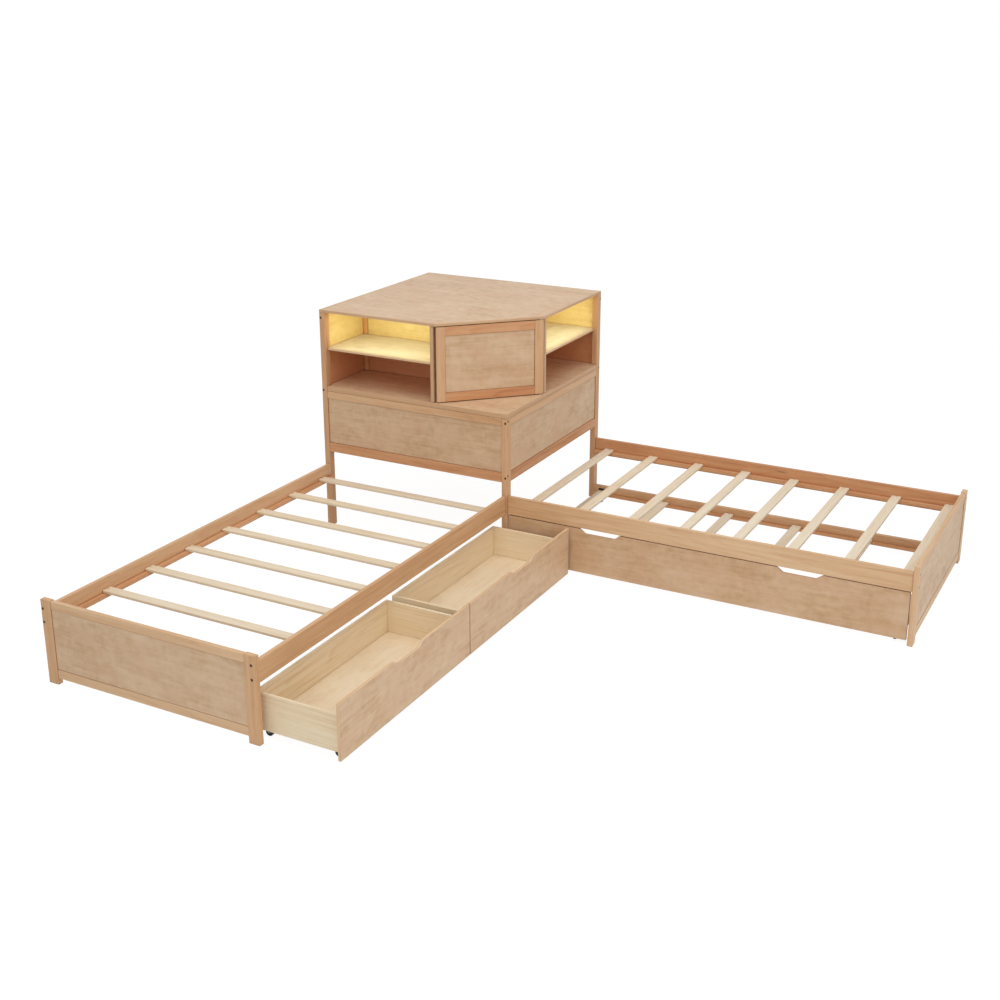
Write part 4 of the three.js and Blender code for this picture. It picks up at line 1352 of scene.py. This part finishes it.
def trundle_side(side, rail_top):
    """An end rail with its two casters. Returns where the ledgers meet it."""
    inward, numbers = (1, (1, 2)) if side == "left" else (-1, (3, 4))
    node_name = f"trundle_{side}_rail"
    lo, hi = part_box(node_name)
    outer, far = (lo.x, hi.x) if inward > 0 else (hi.x, lo.x)
    inner = outer + inward * TRUNDLE_RAIL_THICK
    rail = board(
        (min(outer, inner), lo.y + FLANGE_THICK, TRUNDLE_FLOOR_GAP),
        (max(outer, inner), hi.y - FLANGE_THICK, rail_top),
    )
    mount(joined(node_name + "_timber", [rail], [PINE_LIGHT]), "trundle", "frame_wood", node_name)
    casters = []
    for number, long_board, away in zip(numbers, (lo.y, hi.y), (1, -1)):
        wheel_lo, wheel_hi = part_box(f"trundle_wheel_{number}")
        centre = (wheel_lo + wheel_hi) / 2
        casters += bracket(centre, outer, inner, inward, long_board, away)
        wheel(f"trundle_wheel_{number}", centre, "X")
    mount(joined(f"trundle_{side}_casters", casters, [BLACK, STEEL]), "trundle", "black_plastic")
    return far + inward * SEAM


def trundle_deck(lo, hi, ledger_ends):
    """Six slats on two ledgers. Returns the places of their screws."""
    length = hi.y - lo.y - 2 * TRUNDLE_SLAT_END_GAP
    first = Vector((lo.x + SLAT_WIDE / 2, (lo.y + hi.y) / 2, hi.z - SLAT_THICK / 2))
    stride = Vector(((hi.x - lo.x - SLAT_WIDE) / (TRUNDLE_SLATS - 1), 0, 0))
    slats = grown("trundle_slats_planed", SLATS, {
        "Length": length, **SLAT_SIZES, "First": first, "Step": stride, "Count": TRUNDLE_SLATS,
        "Turn": math.pi / 2, "Seed": 31, "Material": PALE_PINE,
    })
    mount(slats, "trundle", "slat_wood", "trundle_slats")
    start, end = ledger_ends
    spans = ((lo.y, lo.y + LEDGER_WIDE - SEAM), (hi.y - LEDGER_WIDE + SEAM, hi.y))
    parts = [board((start, y0, lo.z), (end, y1, hi.z - SLAT_THICK)) for y0, y1 in spans]
    mount(joined("trundle_ledgers_timber", parts, [PINE_RED]), "trundle", "frame_wood")
    screws = []
    for i in range(TRUNDLE_SLATS):
        for way in (-1, 1):
            place = first + stride * i + Vector((0, way * (length / 2 - SLAT_SCREW_INSET), 0))
            place.z = hi.z
            screws.append((place, UP))
    return screws


def trundle():
    trundle_front()
    timber("trundle_back_rail")
    deck_lo, deck_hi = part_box("trundle_slats")
    rail_top = deck_hi.z - SLAT_THICK - SEAM
    ledger_ends = [trundle_side(side, rail_top) for side in ("left", "right")]
    screws = trundle_deck(deck_lo, deck_hi, ledger_ends)
    fasteners("trundle_slat_screws", screws, screw_head, -SLAT_SCREW_PROUD, BRASS, "trundle", seed=9)


def bracket(centre, outer, inner, inward, long_board, away):
    """A caster of the trundle: two cheeks and a pin, under a plate that runs on to the long
    board and turns up against it. inward points along the long board, away from its face."""
    x, y, z = centre
    half = WHEEL_HALF + FORK_GAP
    reach = FORK_LENGTH / 2
    far = inner + inward * (2 * FORK_CHEEK + 2 * half)
    near_span = sorted((inner, inner + inward * FORK_CHEEK))
    far_span = sorted((far - inward * FORK_CHEEK, far))
    plate_x, flange_x = sorted((inner, far)), sorted((outer, far))
    plate_y = sorted((long_board + away * FLANGE_THICK, y + away * reach))
    flange_y = sorted((long_board, long_board + away * FLANGE_THICK))
    plate_low = FORK_TOP - FORK_PLATE
    outline = cheek_outline(y, z, plate_low, reach)
    flange_near, flange_far = flange_x
    flange = rounded([
        (flange_near, plate_low), (flange_far, plate_low),
        (flange_far, FLANGE_TOP), (flange_near, FLANGE_TOP),
    ], {2: FLANGE_ROUND, 3: FLANGE_ROUND})
    parts = [
        board((start, y - reach, CHEEK_LOW), (end, y + reach, plate_low), outline=outline, ease=BLACK_EASE)
        for start, end in (near_span, far_span)
    ]
    parts.append(board(
        (plate_x[0], plate_y[0], plate_low), (plate_x[1], plate_y[1], FORK_TOP), ease=BLACK_EASE,
    ))
    parts.append(board(
        (flange_near, flange_y[0], plate_low), (flange_far, flange_y[1], FLANGE_TOP),
        outline=flange, ease=BLACK_EASE,
    ))
    parts.append(pin(centre, "X", half + FORK_CHEEK))
    return parts


corner_unit()
desk_and_hutch()
for make in (bay_back, bay_shelf, bay_light):
    for bay_side in ("left", "right"):
        make(bay_side)
door()
bolts = [b for group in corner_bolts.values() for b in group]
bed_screws = []
for bed_side, bed_seed in (("left", 11), ("right", 17)):
    bolts += footboard(bed_side)
    timber(f"{bed_side}_bed_outer_rail", PINE if bed_side == "left" else PINE_RED)
    timber(f"{bed_side}_bed_inner_rail", PINE if bed_side == "left" else PINE_LIGHT)
    bed_screws += slat_deck(bed_side, bed_seed)
for drawer_number in (1, 2):
    drawer(drawer_number)
trundle()
fasteners("frame_bolts", bolts, bolt_head, BOLT_SUNK, BRONZE, "bed", seed=5)
fasteners("hutch_screws", [(p, UP) for p in top_screws], screw_head, SCREW_SUNK, BRASS, "bed", seed=7)
fasteners("slat_screws", bed_screws, screw_head, -SLAT_SCREW_PROUD, BRASS, "bed", seed=8)
for head in (bolt_head, screw_head):
    bpy.data.objects.remove(head)


# Stage: a white floor that runs into a white background. What the camera sees of both is
# white, and the floor keeps part of the object's shadow.
FLOOR_REACH = 60
FLOOR_SHADOW_SHARE = 0.16
FLOOR_WHITE = 1.12 # with the paint's share it comes to 1 on open floor
FLOOR_PAINT = "F2F1EF"
BACKDROP = "FFFFFF"
# Lamps: name, place, aim, size, watts and colour. Together with the ambient light they
# bring an upward face to about 1.
AMBIENT = 0.5
AMBIENT_TINT = "FFFDFA"
STUDIO_LAMPS = [
    ("soft_top", (0.5, -0.8, 5.5), (0, 0, 0.4), (5.0, 5.0), 122, "FFF9F2"),
    ("soft_front", (2.2, -6.5, 3.6), (-0.4, 0.2, 0.5), (4.5, 3.0), 55, "FFFAF5"),
    ("soft_side", (6.2, -1.6, 3.2), (-0.2, 0.4, 0.5), (4.5, 3.0), 50, "FFFAF5"),
]
# The strips' glow fills each upper bay from its top and its front, and a little gets past
# the shelf into the lower one
BAY_LIGHT = "EAFFE2"
BAY_GLOW_DEEP = 270 * MM
BAY_GLOW_HIGH = 160 * MM
TOP_POWER = 0.46
TOP_DROP = 1.5 * MM # below the strip
FRONT_POWER = 0.4
LOW_LIGHT = "FF9A50"
LOW_POWER = 0.06
LOW_DROP = 16 * MM # below the shelf's underside
BAY_INWARDS = {"left": -SOUTH, "right": -EAST}


def seen_directly(tree):
    """1 for what the camera sees, by itself or in metal or through glass"""
    rays = node(tree, "ShaderNodeLightPath").outputs
    direct = rays["Is Camera Ray"]
    for kind in ("Is Glossy Ray", "Is Transmission Ray"):
        direct = node(tree, "ShaderNodeMath", {0: direct, 1: rays[kind]}, operation="MAXIMUM").outputs[0]
    return direct


def studio_floor():
    material, tree = finish_material("painted studio floor, rolled")
    paint = node(tree, "ShaderNodeBsdfDiffuse", {"Color": linear(FLOOR_PAINT)}).outputs[0]
    white = node(tree, "ShaderNodeEmission", {"Strength": FLOOR_WHITE}).outputs[0]
    shown = node(tree, "ShaderNodeMixShader", {0: FLOOR_SHADOW_SHARE, 1: white, 2: paint}).outputs[0]
    both = node(tree, "ShaderNodeMixShader", {0: seen_directly(tree), 1: paint, 2: shown}).outputs[0]
    node(tree, "ShaderNodeOutputMaterial", {"Surface": both})
    mesh = bpy.data.meshes.new("floor")
    corners = [(x * FLOOR_REACH, y * FLOOR_REACH, 0) for x, y in ((-1, -1), (1, -1), (1, 1), (-1, 1))]
    mesh.from_pydata(corners, [], [(0, 1, 2, 3)])
    mesh.materials.append(material)
    floor_object = bpy.data.objects.new("floor", mesh)
    bpy.context.scene.collection.objects.link(floor_object)


def background():
    world = bpy.data.worlds.new("studio")
    world.use_nodes = True
    tree = world.node_tree
    tree.nodes.clear()
    ambient = node(tree, "ShaderNodeBackground", {
        "Color": linear(AMBIENT_TINT), "Strength": AMBIENT,
    }).outputs[0]
    backdrop = node(tree, "ShaderNodeBackground", {"Color": linear(BACKDROP), "Strength": 1.0}).outputs[0]
    both = node(tree, "ShaderNodeMixShader", {0: seen_directly(tree), 1: ambient, 2: backdrop}).outputs[0]
    node(tree, "ShaderNodeOutputWorld", {"Surface": both})
    bpy.context.scene.world = world


def lamp(name, place, target, size, power, colour):
    data = bpy.data.lights.new(name, "AREA")
    data.shape = "RECTANGLE"
    data.size, data.size_y = size
    data.energy = power
    data.color = linear(colour)[:3]
    lamp_object = bpy.data.objects.new(name, data)
    lamp_object.location = place
    lamp_object.rotation_euler = (Vector(target) - Vector(place)).to_track_quat("-Z", "Y").to_euler()
    bpy.context.scene.collection.objects.link(lamp_object)
    return lamp_object


def lights():
    for made in STUDIO_LAMPS:
        lamp(*made)
    for side, inwards in BAY_INWARDS.items():
        lo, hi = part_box(f"{side}_bay_light")
        shelf_lo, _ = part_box(f"{side}_shelf")
        along = max(hi.x - lo.x, hi.y - lo.y)
        flat = (along, BAY_GLOW_DEEP) if side == "left" else (BAY_GLOW_DEEP, along)
        upright = (along, BAY_GLOW_HIGH)
        middle = (lo + hi) / 2
        middle.z = lo.z - TOP_DROP
        top = middle + inwards * BAY_GLOW_DEEP / 2
        front = middle - UP * BAY_GLOW_HIGH / 2
        low = top.copy()
        low.z = shelf_lo.z - LOW_DROP
        glows = [
            lamp(f"{side}_top_glow", top, top - UP, flat, TOP_POWER, BAY_LIGHT),
            lamp(f"{side}_front_glow", front, front + inwards, upright, FRONT_POWER, BAY_LIGHT),
            lamp(f"{side}_low_glow", low, low - UP, flat, LOW_POWER, LOW_LIGHT),
        ]
        for glow in glows:
            glow.visible_camera = False


studio_floor()
background()
lights()
bpy.context.scene.view_settings.view_transform = "Standard"
